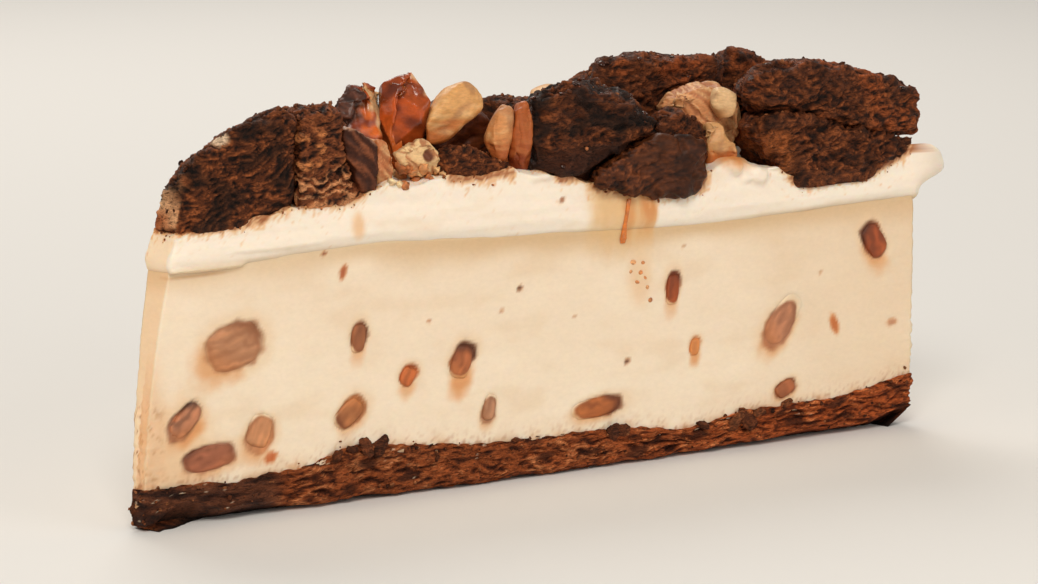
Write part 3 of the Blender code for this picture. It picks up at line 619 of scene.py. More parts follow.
# Specks that have no node: (along, height, half length, half width, tilt, colour, strength).
SPECKS = (
    (0.2, 24.5, 0.8, 0.5, 80.0, (176, 106, 62), 0.8),
    (0.3, 20.0, 1.1, 0.5, 70.0, (150, 84, 48), 0.85),
    (98.6, 4.3, 1.2, 0.5, 20.0, (70, 34, 20), 0.8),
    (45.2, 24.0, 0.3, 0.25, 0.0, (168, 100, 60), 0.6),
    (69.4, 22.3, 0.3, 0.2, 0.0, (180, 124, 84), 0.5),
    (88.4, 30.6, 0.35, 0.25, 30.0, (176, 116, 76), 0.5),
    (113.0, 24.6, 0.3, 0.25, 0.0, (170, 110, 70), 0.5),
    (19.7, 8.0, 0.9, 0.7, 20.0, (190, 84, 34), 0.95),
    (31.4, 32.1, 0.9, 0.45, 70.0, (170, 84, 46), 0.9),
    (28.4, 34.9, 0.35, 0.3, 0.0, (130, 60, 34), 0.9),
    (60.2, 27.2, 0.4, 0.35, 0.0, (84, 40, 26), 0.9),
    (57.1, 24.3, 0.4, 0.25, 30.0, (170, 120, 90), 0.6),
    (78.5, 15.0, 0.45, 0.35, 20.0, (88, 46, 30), 0.9),
    (115.7, 16.7, 1.3, 0.6, 110.0, (190, 100, 46), 0.9),
    (126.5, 15.9, 0.8, 0.45, 10.0, (176, 112, 76), 0.7),
    (67.0, 39.0, 0.5, 0.3, 40.0, (150, 92, 60), 0.8),
    (24.0, 5.6, 1.6, 0.5, -30.0, (222, 176, 128), 0.5),
)

# Wide soft stains: (along, height, half length, half height, colour, strength).
STAINS = (
    (78.5, 36.6, 1.3, 5.0, (212, 132, 68), 0.55),
    (80.6, 26.8, 2.6, 4.4, (230, 186, 138), 0.5),
    (33.6, 38.2, 1.2, 2.2, (226, 172, 118), 0.6),
    (98.6, 43.4, 5.4, 2.6, (206, 124, 56), 0.9),
    (5.2, 10.6, 7.0, 8.4, (228, 184, 136), 0.55),
    (1.0, 13.0, 3.4, 11.0, (222, 176, 132), 0.45),
    (9.0, 33.7, 6.6, 0.3, (208, 168, 126), 0.8),
    (112.0, 39.0, 6.0, 1.2, (226, 184, 140), 0.35),
)

# Caramel soaked into the front below the fudge: pale all over, and deeper along its far side.
SOAKED_FROM, SOAKED_TO = 70.0, 83.0
SOAKED_LOW, SOAKED_HIGH = 28.0, 37.0


# How deep from a cut face its marks are painted, in the filling and in the cream over its ledge.
MARKED_DEPTH = 1.6
CREAM_MARKED_DEPTH = 2.2


def paint_specks(colours, places):
    for along, height, half, width, tilt, colour, strength in SPECKS:
        near = np.hypot(places[:, 0] - along, places[:, 2] - height) < 4.0 * half
        away = places[near][:, ::2] - (along, height)
        turn = math.radians(tilt)
        turned = away @ np.array(((math.cos(turn), -math.sin(turn)), (math.sin(turn), math.cos(turn))))
        far = np.linalg.norm(turned / (half, width), axis=1) + 0.35 * noise(places[near] / 0.5, 71)
        mark = blend(STAIN, colour, 1.6 - far)
        colours[near] = blend(colours[near], mark, strength * smooth(-far, -1.7, -0.7))
    return colours


def paint_stains(colours, places):
    """Stains with soft edges, and the broad soaked strip with a sharp far side."""
    ragged = 0.5 * fractal(places / (1.4, 1.4, 5.0), 33)
    along = places[:, 0] + ragged
    depth = smooth(places[:, 2] + 2.0 * ragged, SOAKED_LOW, SOAKED_HIGH)
    far_side = smooth(-along, -SOAKED_TO - 0.3, -SOAKED_TO + 0.3)
    pale = 0.85 * smooth(along, SOAKED_FROM, SOAKED_FROM + 4.5) * far_side * depth
    deep = 0.65 * smooth(along, SOAKED_TO - 3.4, SOAKED_TO - 1.8) * far_side * depth**3
    colours = blend(blend(colours, (224, 180, 124), pale), (206, 124, 60), deep)
    for middle, height, half, tall, colour, strength in STAINS:
        far = np.hypot((places[:, 0] - middle) / half, (places[:, 2] - height) / tall)
        colours = blend(colours, colour, strength * smooth(-far - 0.3 * ragged, -1.2, -0.3))
    return colours


# ---- Crust


CRUST_STRAND = (4.2, 4.2, 0.75)


def crust_strands(points):
    """(points pushed about, height of the long strands there)."""
    warped = warp(points, 3.2, 0.8, 11)
    return warped, 1.0 - 2.4 * np.abs(fractal(warped / CRUST_STRAND, 12, 2))


def crust_relief(points, sides, ups):
    """Torn, pressed crumb: strands, lumps and pits, with a drawn-in foot and a proud band near the top."""
    warped, strands = crust_strands(points)
    lumps = 1.0 - cells(warped / (1.2, 1.2, 0.85), 13)[0]
    crags = noise(points / (6.0, 6.0, 3.4), 14) + 0.6 * noise(points / (2.4, 2.4, 1.6), 17)
    edge = -0.7 * smooth(-ups, -0.14, 0.0) + 0.4 * smooth(ups, 0.55, 0.78)
    rough = 1.0 - 0.7 * dark_roll(points)
    return 0.3 * crags + rough * (0.34 * (strands - 0.4) + 0.45 * (lumps - 0.5)) + edge


def dark_roll(points):
    """Share of the smooth dark roll at the tip's end of the crust."""
    places = to_face(points)
    return smooth(-places[:, 0], -23.0, -19.0) * smooth(-np.abs(places[:, 2] - 3.2), -2.9, -1.9)


def crust_colours(points):
    warped, strands = crust_strands(points)
    fine = 1.0 - 2.2 * np.abs(noise(warped / (1.6, 1.6, 0.4), 22))
    mottle = fractal(warped / (2.4, 2.4, 1.3), 23) + 0.7 * noise(warped / 0.6, 18)
    colours = blend(CRUST_DARK, CRUST_MID, smooth(strands + 0.5 * fine + 0.5 * mottle, -0.4, 0.9))
    tan = strands + 0.6 * fine + 0.8 * noise(warped / 3.4, 24)
    colours = blend(colours, CRUST_LIGHT, 0.8 * smooth(tan, 1.0, 1.8))
    along = to_face(points)[:, 0]
    colours = blend(colours, colours * (1.16, 1.1, 1.04), smooth(along, 50.0, 120.0))
    colours = blend(colours, (52, 24, 13), 0.7 * smooth(noise(points / (5.0, 5.0, 1.8), 28), 0.28, 0.5))
    rolled = blend((98, 56, 36), (44, 22, 14), smooth(noise(points / (4.0, 4.0, 1.2), 26), -0.2, 0.3))
    colours = blend(colours, rolled, 0.9 * dark_roll(points))
    flecks = smooth(noise(points / (1.1, 1.1, 0.6), 29), 0.5, 0.6) * smooth(noise(points / 9.0, 25), 0.1, 0.2)
    return blend(colours, (228, 206, 178), 0.85 * flecks)


def make_crust():
    sites = over_wedge(0.0 * CRUST_FOOT).reshape(-1, 3)
    ragged = noise(sites / 2.0, 15) + 0.5 * noise(sites / 0.9, 16)
    high = LEVELS["crust"] + 0.3 + 0.4 * ragged.reshape(CRUST_FOOT.shape)
    points, faces = make_layer(CRUST_FOOT, high, 30, crust_relief, foot=3.0)
    wet = 0.2 * smooth(noise(points / 1.2, 27), 0.0, 0.5) + 0.5 * dark_roll(points)
    # The lowest strip, at the table, is painted near-black: a painted contact shadow under the crust.
    colours = blend(crust_colours(points), (16, 8, 5), smooth(-points[:, 2], -0.3, -0.05))
    piece("crust", points, faces, colours, wet, SKINS["crust"], "crust", ["chocolate_crust"])


# ---- Filling


def filling_relief(points, sides, ups):
    """Waves and fine drag lines that the knife left, and a crumblier tip."""
    along = wall_run(points, sides) - WORN_TIP
    waves = knife_waves(points)
    tears = 0.2 * np.maximum(fractal(points / (3.4, 3.4, 0.6), 43, 2), 0.0) * smooth(along, 118.0, 128.0)
    flakes = fractal(points / (2.0, 2.0, 1.0), 44) + 0.5 * noise(points / 0.7, 40)
    crumbly = smooth(-along, -5.0, -1.0) * (0.4 + 0.6 * smooth(-points[:, 2], -19.0, -14.0))
    return waves - tears * (sides != 1) + 0.3 * flakes * crumbly - nut_seats(points, sides)


def knife_waves(points):
    return 0.12 * noise(points / (13.0, 13.0, 8.0), 41) + 0.03 * noise(points / (9.0, 9.0, 0.7), 42)


def nut_seats(points, sides):
    """How far the cut faces draw in behind the set nuts, so that the nuts themselves show."""
    drawn_in = np.zeros(len(points))
    for side, number in ((FRONT, 0), (BACK, 2)):
        own = to_face(points, side)
        for ellipse in NUT_SHAPES.values():
            near = (sides == number) & (np.abs(own[:, ::2] - ellipse[1]).max(axis=1) < 1.2 * ellipse[3][0])
            if ellipse[0] == side and near.any():
                drawn_in[near] = 0.3 * smooth(-from_ellipse(own[near], ellipse), -0.92, -0.7)
    return drawn_in


def filling_colours(points):
    """The filling with its stains, specks and cut nuts, and painted shade and light on its face."""
    places = to_face(points)
    under_cream = FILLING_TOP_AT(points) - places[:, 2]
    mottle = fractal(points / (11.0, 11.0, 5.0), 45)
    low = smooth(under_cream, 8.0, 24.0)
    # Lighter here and there at random, and lighter further below the cream: painted light.
    colours = blend(FILLING, FILLING_LIGHT, 0.25 * smooth(mottle, 0.0, 0.7) + 0.4 * low)
    colours = blend(colours, FILLING_SHADE, 0.25 * smooth(-mottle, 0.1, 0.8))
    # A tan band just under the cream: painted shade of the cream's ledge.
    band = np.exp(-((under_cream / (2.4 + 1.4 * noise(points / 9.0, 49))) ** 2))
    colours = blend(colours, UNDER_CREAM_SHADE, (0.5 + 0.4 * smooth(places[:, 0], 10.0, 60.0)) * band)
    # Darker towards the rim end: painted shade.
    colours = blend(colours, FILLING_SHADE, 0.4 * smooth(places[:, 0], 88.0, 126.0))
    flaky_tip = smooth(-places[:, 0], -4.2, -2.2) * smooth(-places[:, 2], -18.0, -15.0)
    flakes = smooth(noise(points / (1.6, 1.6, 1.0), 64), -0.1, 0.2)
    colours = blend(colours, (246, 232, 212), 0.7 * flaky_tip * flakes)
    squiggles = smooth(-np.abs(noise(warp(points, 2.0, 0.8, 65) / 2.4, 66)), -0.05, -0.01)
    colours = blend(colours, (150, 96, 62), 0.7 * flaky_tip * squiggles)
    on_front = np.abs(places[:, 1]) < MARKED_DEPTH
    colours[on_front] = paint_specks(paint_stains(colours[on_front], places[on_front]), places[on_front])
    for side in (FRONT, BACK):
        own = to_face(points, side)
        for seed, ellipse in enumerate(NUT_SHAPES.values()):
            away = np.abs(own[:, ::2] - ellipse[1]).max(axis=1)
            near = (np.abs(own[:, 1]) < MARKED_DEPTH) & (away < 2.4 * ellipse[3][0] + 1.0)
            if ellipse[0] == side and near.any():
                style = NUT_STYLES[seed % len(NUT_STYLES)]
                colours[near] = paint_nut(colours[near], own[near], ellipse, style, seed)
    return painted_tip_light(paint_crumb_dust(colours, points, places[:, 2] - CRUST_TOP_AT(points)), places)


def paint_crumb_dust(colours, points, above):
    """Specks and a tan edge where the filling meets the crust."""
    above = np.maximum(above, 0.0)
    dusty = smooth(noise(points / 0.6, 46), 0.1, 0.4) * np.exp(-above / 0.9)
    colours = blend(colours, (166, 104, 66), 0.75 * dusty)
    tan_edge = np.exp(-above / 0.7) * smooth(noise(points / (3.0, 3.0, 3.0), 47), -0.3, 0.3)
    return blend(colours, (210, 154, 106), 0.7 * tan_edge)


def level_lookup(grid):
    """Function of points that gives a level's height there."""

    def height(points):
        away = points - MIDDLE
        radius = np.hypot(away[:, 0], away[:, 1])
        share = np.clip((radius - TIP_FOOT) / (CAKE_RADIUS - TIP_FOOT), 0.0, 1.0)
        across = np.clip(0.5 + 0.5 * np.arctan2(away[:, 1], away[:, 0]) / HALF_ANGLE, 0.0, 1.0)
        return grid[(share * FACE_STEPS).astype(int), (across * RIM_STEPS).astype(int)]

    return height


CRUST_TOP_AT = level_lookup(LEVELS["crust"])
FILLING_TOP_AT = level_lookup(LEVELS["filling"])


def make_filling():
    points, faces = make_layer(LEVELS["crust"] - 0.8, LEVELS["filling"] + 0.6, 76, filling_relief)
    wet = 0.4 + 0.4 * noise(points / 6.0, 48)
    colours = filling_colours(points)
    piece("filling", points, faces, colours, wet, SKINS["filling"], "filling", ["cheesecake_filling"])


# ---- Cream


LEDGE = 0.55
RIM_BEAD = 1.3
RIM_BLOB = 3.4
RIM_BLOB_WIDTH = 5.0
RIM_BLOB_UP = 0.7
RIM_BLOB_TALL = 0.36

# Small lumps and smears of cream on the front face: (along, height, half length, half height, how proud).
CREAM_SMEARS = (
    (63.6, 42.7, 2.4, 0.8, 0.5),
    (97.3, 41.2, 1.5, 1.3, 0.9),
    (99.2, 39.6, 1.0, 0.9, 0.6),
    (9.0, 34.5, 8.5, 0.5, 0.7),
    (20.0, 36.6, 9.0, 0.5, 0.3),
    (101.4, 39.8, 2.0, 1.6, 0.9),
    (104.6, 41.2, 1.4, 1.0, 0.6),
)


def cream_relief(points, sides, ups):
    """A soft ledge over the filling with smeared ridges, and a lumpy bead round the rim."""
    run = wall_run(points, sides)
    along = run - WORN_TIP
    ledge = LEDGE * smooth(ups, 0.0, 0.3) * (1.0 - smooth(ups, 0.38, 0.95)) - 0.35 * smooth(-ups, -0.1, 0.0)
    smears = 0.16 * noise(points / (16.0, 16.0, 0.9), 51) + 0.1 * noise(points / (5.0, 5.0, 2.2), 52)
    tip_smears = 0.3 * np.maximum(noise(points / (14.0, 14.0, 0.8), 53), 0.0) * smooth(-along, -30.0, -8.0)
    places = to_face(points)
    for middle, height, half, tall, proud in CREAM_SMEARS:
        far = np.hypot((places[:, 0] - middle) / half, (places[:, 2] - height) / tall)
        smears += (sides == 0) * proud * smooth(-far - 0.3 * noise(points / 1.2, 50), -1.1, -0.4)
    belly = np.sin(math.pi * (0.12 + 0.8 * ups))
    bead = RIM_BEAD * (1.0 + 0.7 * noise(points / (7.7, 7.7, 6.0), 54))
    off_blob = (run / RIM_BLOB_WIDTH) ** 2 + ((ups - RIM_BLOB_UP) / RIM_BLOB_TALL) ** 2
    lobes = 1.0 + 0.35 * noise(points / 3.0, 67)
    rim = belly * bead + RIM_BLOB * lobes * np.exp(-(off_blob**1.7)) + 0.3 * noise(points / 2.4, 55)
    rim -= 0.45 * smooth(-ups, -0.07, 0.0)
    return np.where(sides == 1, rim, ledge + smears + tip_smears)


def cream_colours(points, fringe):
    places = to_face(points)
    mottle = fractal(points / (9.0, 9.0, 4.0), 56)
    colours = blend(CREAM, CREAM_SHADE, 0.3 * smooth(mottle, 0.1, 0.8))
    above = places[:, 2] - FILLING_TOP_AT(points)
    ragged = 0.4 * noise(points / (7.0, 7.0, 1.4), 63)
    # The cream's lowest edge takes the same painted shade of its ledge.
    colours = blend(colours, UNDER_CREAM_SHADE, 0.6 * smooth(-above - ragged, -1.0, 0.3))
    on_front = np.abs(places[:, 1]) < CREAM_MARKED_DEPTH
    colours[on_front] = paint_specks(paint_stains(colours[on_front], places[on_front]), places[on_front])
    strokes = noise(points / (0.5, 0.5, 2.6), 57) + 0.8 * noise(points / (2.6, 2.6, 3.4), 58)
    reach = 0.45 + 0.8 * np.maximum(strokes, 0.0)
    bled = np.exp(-np.maximum(fringe, 0.0) / reach) + 0.5 * noise(points / 0.5, 59)
    colours = blend(colours, (228, 176, 124), 0.8 * smooth(bled, 0.2, 0.6))
    colours = blend(colours, (150, 84, 44), 0.85 * smooth(bled, 0.65, 1.1))
    return painted_tip_light(colours, places)


def painted_tip_light(colours, places):
    """The narrow end wall, painted yellower than the sides: painted warm light on it."""
    end = smooth(places[:, 1], 0.0, 0.4) * smooth(-places[:, 0], -8.0, -6.0)
    return blend(colours, colours * (1.03, 0.97, 0.9), end)


# Points below CREAM_FLOOR, and points with nothing in reach, count as FAR_OFF from the brownies.
CREAM_FLOOR = 34.0
FRINGE_REACH = 6.0
FAR_OFF = 9.0
FRINGE_START = 0.55
CORNER_RISE, CORNER_RISE_REACH = 1.3, 3.2


def fringe_of(points, tree):
    """Distance from points of the cream to the nearest brownie."""
    found = np.full(len(points), FAR_OFF)
    for index, point in enumerate(points):
        if point[2] > CREAM_FLOOR:
            hit = tree.find_nearest(Vector(point), FRINGE_REACH)
            if hit[0] is not None:
                found[index] = hit[3]
    return found


def make_cream(dark_tree, lump_tree):
    grid = LEVELS["cream"].copy()
    sites = over_wedge(grid).reshape(-1, 3)
    near = np.array([lump_tree.find_nearest(Vector(site), FAR_OFF)[3] or FAR_OFF for site in sites])
    near = near.reshape(grid.shape)
    peaks = 0.6 * noise(sites / 3.6, 60) + 0.35 * noise(sites / 1.6, 61)
    grid += peaks.reshape(grid.shape) + 0.9 * np.exp(-((near / 1.5) ** 2))
    from_corner = np.linalg.norm((sites - from_face([CAKE_RADIUS - WORN_TIP, 0.0, 0.0]))[:, :2], axis=1)
    grid += CORNER_RISE * np.exp(-((from_corner / CORNER_RISE_REACH) ** 2)).reshape(grid.shape)
    points, faces = make_layer(LEVELS["filling"] - 0.2, grid, 22, cream_relief, grid_top=True)
    fringe = fringe_of(points, dark_tree) - FRINGE_START
    wet = 0.5 + 0.5 * noise(points / 3.0, 62)
    colours = cream_colours(points, fringe)
    piece("cream", points, faces, colours, wet, SKINS["cream"], "cream", ["cream_layer"])


# ---- Set nuts


def make_set_nut(name, seed):
    """A nut cut through with the filling: a low dome on the cut face, painted as the filling round it is."""
    ellipse = NUT_SHAPES[name]
    side = ellipse[0]
    points, faces = fine_copy(name, 0.25)
    places = to_face(points, side)
    far = from_ellipse(places, ellipse)
    cut = smooth(-places[:, 1], -0.8, -0.1)
    dome = 0.1 - 0.14 * smooth(far, 0.6, 1.0) + 0.03 * noise(places / 0.8, 310 + seed)
    colours = filling_colours(points)
    places[:, 1] = (1.0 - cut) * places[:, 1] - cut * (dome + knife_waves(points))
    piece(f"{name}_cut", from_face(places, side), faces, colours, 0.45, SKINS["filling"], "set_nut", [name])


# ---- Brownies and the like


def torn(places, grain, seed):
    """Height of torn crumb, from about 0 deep in a pore to 1 on a strand."""
    warped = warp(warp(places, 6.0, 1.3, seed), 2.0, 0.5, seed + 3)
    wide = np.clip(1.0 - 2.3 * np.abs(noise(warped / grain, seed + 6)), 0.0, 1.0)
    thin = np.clip(1.0 - 2.6 * np.abs(noise(warped / (0.52 * np.array(grain)), seed + 9)), 0.0, 1.0)
    pores = smooth(cells(warped / (1.9, 1.7, 1.1), seed + 7)[0], 0.14, 0.5)
    fine = noise(warped / 0.5, seed + 8)
    return (0.55 * wide + 0.4 * thin + 0.12 * fine) * (0.3 + 0.75 * pores) + 0.05


# How each lump is made: node: (kind, voxel, settings).
LUMPS = {
    "brownie_tip": ("brownie", 0.24, {"grain": (2.9, 1.8, 0.72), "slant": 14.0, "dark": 0.4, "creamy": 1.0}),
    "brownie_nutty": ("nutty", 0.23, {}),
    "chocolate_shard": ("shard", 0.26, {}),
    "fudge_drape": ("fudge", 0.26, {}),
    "brownie_front": ("brownie", 0.23, {"glaze": 1.0, "dark": 0.6, "folds": 0.7, "melt": 1.0}),
    "brownie_shoulder": ("brownie", 0.25, {"glaze": 0.5, "ruddy": 0.5, "folds": 0.6}),
    "caramel_nut": ("glazed_nut", 0.26, {}),
    "caramel_lump": ("caramel", 0.26, {}),
    "caramel_slab": ("fudge", 0.28, {"warm": 0.6}),
    "brownie_low": ("brownie", 0.26, {"depth": 0.4}),
    "almond_half": ("nut", 0.26, {"colour": (216, 160, 98), "low": (186, 100, 44)}),
    "hazelnut_half_left": ("nut", 0.26, {"colour": (206, 138, 82), "low": (168, 82, 36)}),
    "hazelnut_half_right": (
        "nut", 0.26, {"colour": (172, 90, 42), "low": (124, 52, 22), "pale": 0.12, "bite": 0.4}
    ),
    "toffee_nut": ("flaky", 0.26, {"colour": (206, 132, 84)}),
    "broken_nut": ("flaky", 0.26, {"colour": (226, 188, 136), "hole": 1.0, "bite": 0.5}),
    "almond_big": ("flaky", 0.26, {"colour": (212, 146, 96)}),
    "almond_tip": ("nut", 0.26, {"colour": (220, 180, 132), "low": (190, 130, 80), "bite": 0.4}),
    "bent_nut": ("nut", 0.26, {"colour": (208, 154, 100), "low": (182, 96, 42), "bite": 0.35}),
    "brownie_rim_lower": ("brownie", 0.24, {"slant": 8.0, "dark": 0.2, "folds": 0.6, "syrup": 1.0}),
    "brownie_rim_upper": ("brownie", 0.25, {"glaze": 0.8, "ruddy": 0.8, "folds": 0.5}),
    "brownie_back": ("brownie", 0.3, {"glaze": 0.8, "ruddy": 0.8, "folds": 0.5}),
    "brownie_knob": ("brownie", 0.3, {"glaze": 0.4, "ruddy": 0.6, "folds": 0.4}),
    "brownie_rear_tip": ("brownie", 0.36, {"slant": 14.0}),
    "brownie_rear_middle": ("brownie", 0.36, {"glaze": 0.8, "folds": 0.6}),
    "brownie_rear_rim": ("brownie", 0.36, {"folds": 0.5, "ruddy": 0.6}),
    "brownie_rear_inner": ("brownie", 0.36, {"glaze": 0.6, "ruddy": 0.6, "folds": 0.5}),
    "nut_rear_1": ("nut", 0.3, {"colour": (226, 176, 116), "low": (206, 130, 70)}),
    "nut_rear_2": ("nut", 0.3, {"colour": (200, 130, 76), "low": (176, 90, 42)}),
    "nut_rear_3": ("flaky", 0.3, {"colour": (190, 116, 70)}),
    "nut_rear_4": ("nut", 0.3, {"colour": (222, 168, 108), "low": (200, 124, 64)}),
    "nut_rear_5": ("caramel", 0.3, {}),
    "nut_rear_6": ("nut", 0.3, {"colour": (204, 132, 80), "low": (176, 90, 42)}),
}
SLOTS = {
    "brownie": "brownie", "nutty": "nutty_brownie", "shard": "nutty_brownie", "fudge": "fudge",
    "glazed_nut": "caramel", "caramel": "caramel", "nut": "almond", "flaky": "toffee",
}


def in_box(places):
    """Each place as a share of the lump's box."""
    low, high = places.min(axis=0), places.max(axis=0)
    return (places - low) / (high - low)


def leaned(places, slant):
    """Places turned so that what runs level on them climbs by the slant along the slice."""
    turn = math.radians(slant)
    cosine, sine = math.cos(turn), math.sin(turn)
    return places @ np.array(((cosine, 0.0, -sine), (0.0, 1.0, 0.0), (sine, 0.0, cosine)))


CUTS = 14


def facets(places, seed, bite):
    """(how far places stand out past flat cuts across a lump, a number for the cut) as on a broken nut."""
    low, high = places.min(axis=0), places.max(axis=0)
    half = (high - low) / 2.0
    ways = np.random.default_rng(seed).normal(size=(CUTS, 3))
    ways /= np.linalg.norm(ways, axis=1, keepdims=True)
    out = ((places - (low + high) / 2.0) / half) @ ways.T - (1.0 - 0.5 * bite)
    return np.clip(out.max(axis=1), 0.0, bite) * half.mean(), out.argmax(axis=1)


def facet_shade(cut, low, reach):
    """Lightness of each flat cut, from low to low + reach."""
    return (low + reach * ((cut * 37) % 11) / 10.0)[:, None]


def brownie(
    places, normals, seed, grain=(2.4, 1.8, 0.8), depth=0.5, glaze=0.0, ruddy=0.0, dark=0.0, folds=0.0,
    slant=0.0, creamy=0.0, syrup=0.0, melt=0.0,
):
    """Torn crumb, with soft folds, a glazed top and a melted foot where those are asked for."""
    field = torn(leaned(places, slant), grain, seed)
    unit = in_box(places)
    melted = melt * smooth(-places[:, 2] + 0.9 * noise(places / 3.0, seed + 22), -46.6, -45.0)
    field = field * (1.0 - 0.8 * melted) + 0.35 * melted
    lit = smooth(normals[:, 2], -0.1, 0.75)
    foot = smooth(-unit[:, 2], -0.2, -0.04)
    crags = noise(places / (3.8, 3.8, 2.8), seed + 12)
    fold = 1.0 - 2.4 * np.abs(noise(warp(places, 6.0, 1.6, seed + 18) / (6.5, 5.0, 2.6), seed + 19))
    ridge = smooth(fold, 0.3, 1.0)
    pooled = smooth(noise(places / 5.0, seed + 17) + 0.25 * noise(places / 1.4, seed + 20), -0.25, 0.05)
    shiny = np.clip(glaze * smooth(normals[:, 2] + 0.9 * unit[:, 2], 0.35, 0.95) * pooled, 0.0, 1.0)
    shift = depth * (1.0 - 0.75 * shiny) * (field - 0.55) + (0.2 + 0.4 * lit) * crags + folds * (ridge - 0.35)
    # Pores painted near-black: partly the crumb's own dark, partly painted shade in them.
    colours = blend(PIT_DARK_AND_SHADE, CRUMB, smooth(field, 0.1, 0.42))
    colours = blend(colours, STRAND, 0.85 * smooth(field + 0.2 * noise(places / 1.3, seed + 13), 0.5, 0.95))
    colours = blend(colours, (124, 68, 38), 0.45 * folds * ridge)
    patch = smooth(noise(places / 6.0, seed + 14), -0.1, 0.35)
    colours = blend(colours, RUDDY, ruddy * 0.75 * patch * smooth(field, 0.25, 0.6))
    colours = colours * (1.0 - dark * smooth(noise(places / (5.0, 5.0, 3.0), seed + 16), -0.1, 0.3))[:, None]
    layered = noise(warp(places, 5.0, 1.0, seed + 23) / (6.0, 4.0, 1.1), seed + 24)
    colours = blend(colours, blend((84, 44, 25), (38, 18, 10), layered + 0.5), 0.85 * melted)
    shift += 0.25 * melted * layered
    under_glaze = blend(GLAZED, (146, 68, 28), ruddy * patch * smooth(fold, 0.0, 0.8))
    colours = blend(colours, under_glaze, 0.45 * shiny)
    left = smooth(-normals[:, 0], 0.45, 0.7) * smooth(-unit[:, 0] + 0.1 * crags, -0.13, -0.06)
    caramel_cream = blend((224, 178, 134), (166, 90, 48), 1.6 * crags + 0.5)
    colours = blend(colours, caramel_cream, 0.9 * creamy * left)
    patch = np.hypot((places[:, 0] - 12.4) / 1.9, (places[:, 2] - 51.6) / 1.2) + 0.3 * crags
    colours = blend(colours, (232, 204, 172), creamy * 0.9 * smooth(-patch, -1.1, -0.6))
    sticky = syrup * smooth(-places[:, 0], -109.0, -106.0) * smooth(-places[:, 2], -47.5, -45.0)
    colours = blend(colours, (158, 86, 40), 0.7 * sticky * smooth(crags, -0.4, 0.2))
    beads = smooth(noise(places / 1.1, seed + 25), 0.1, 0.28)
    wet = 0.05 + 0.95 * shiny * beads + 0.4 * sticky + 0.2 * melted
    return shift * (1.0 - 0.8 * foot), colours, wet


def nutty(places, normals, seed):
    """Layered crumb at the foot, and darker crumb with nut bits above."""
    field = torn(places, (2.6, 2.0, 0.7), seed)
    unit = in_box(places)
    tangle = 1.5 * noise(places / (3.6, 3.0, 2.4), seed + 21) + 0.4 * noise(places / 1.2, seed + 25)
    bands = np.sin(2.0 * math.pi * (places[:, 2] / 1.5 + tangle))
    foot = smooth(-unit[:, 2] - 0.2 * noise(places / 3.0, seed + 24), -0.42, -0.26)
    shift = 0.5 * (field - 0.55) + 0.16 * foot * bands + 0.4 * noise(places / 4.0, seed + 22)
    # Pores painted near-black: partly the crumb's own dark, partly painted shade in them.
    colours = blend(PIT_DARK_AND_SHADE, (108, 56, 29), smooth(field, 0.08, 0.5))
    colours = blend(colours, (170, 100, 56), 0.6 * smooth(field, 0.6, 0.95))
    colours = blend(colours, (212, 146, 98), 0.85 * foot * smooth(bands + 0.9 * field, 0.5, 1.3))
    first, _ = cells(warp(places, 2.0, 0.7, seed) / (3.0, 3.0, 2.2), seed + 23)
    bits = smooth(-first, -0.46, -0.3) * smooth(unit[:, 2], 0.24, 0.36) * smooth(-unit[:, 2], -0.84, -0.7)
    colours = blend(colours, (204, 128, 74), 0.85 * bits * smooth(field, 0.2, 0.6))
    return (shift + 0.35 * bits) * (1.0 - 0.7 * smooth(-unit[:, 2], -0.16, -0.04)), colours, 0.2


def shard(places, normals, seed):
    """A thin piece of dark chocolate, with a painted highlight: pale where it faces up."""
    field = torn(leaned(places, -50.0), (3.0, 2.0, 0.8), seed)
    streaks = noise(leaned(places, -50.0) / (4.0, 3.0, 0.9), seed + 20)
    colours = blend((60, 30, 19), (122, 68, 42), smooth(streaks + 0.6 * field, 0.1, 0.8))
    # Faces turned up are painted pale: a painted highlight along the upper edge.
    colours = blend(colours, (190, 146, 118), 0.75 * smooth(normals[:, 2] + 0.3 * streaks, 0.3, 0.7))
    return 0.3 * (field - 0.6) + 0.3 * streaks, colours, 0.3


def fudge(places, normals, seed, warm=0.0):
    """Soft glossy fudge in folds, crumblier towards the tip's end."""
    folds = noise(warp(places, 5.0, 1.2, seed) / (5.0, 4.0, 1.7), seed + 1)
    creases = -np.exp(-((folds / 0.09) ** 2))
    field = torn(places, (2.4, 1.8, 0.9), seed + 6)
    rough = 0.3 + 0.7 * smooth(-in_box(places)[:, 0] + 0.35 * folds, -0.7, -0.2)
    shift = 0.6 * noise(places / 3.0, seed + 2) + 0.4 * creases + 0.1 * noise(places / 1.1, seed + 3)
    colours = blend((72, 37, 17), (38, 17, 7), 0.8 * smooth(folds, -0.15, 0.35))
    colours = blend(colours, (112, 60, 34), 0.6 * smooth(noise(places / (4.0, 4.0, 1.6), seed + 4), 0.1, 0.4))
    # Pores painted near-black: partly the crumb's own dark, partly painted shade in them.
    crumb = blend(PIT_DARK_AND_SHADE, CRUMB, smooth(field, 0.1, 0.45))
    colours = blend(colours, blend(crumb, STRAND, 0.7 * smooth(field, 0.6, 0.95)), 0.85 * rough)
    wet = (0.3 + 0.5 * noise(places / 2.4, seed + 5)) * (1.0 - 0.7 * rough)
    return shift + 0.45 * rough * (field - 0.5), blend(colours, (124, 58, 28), warm * 0.6), wet


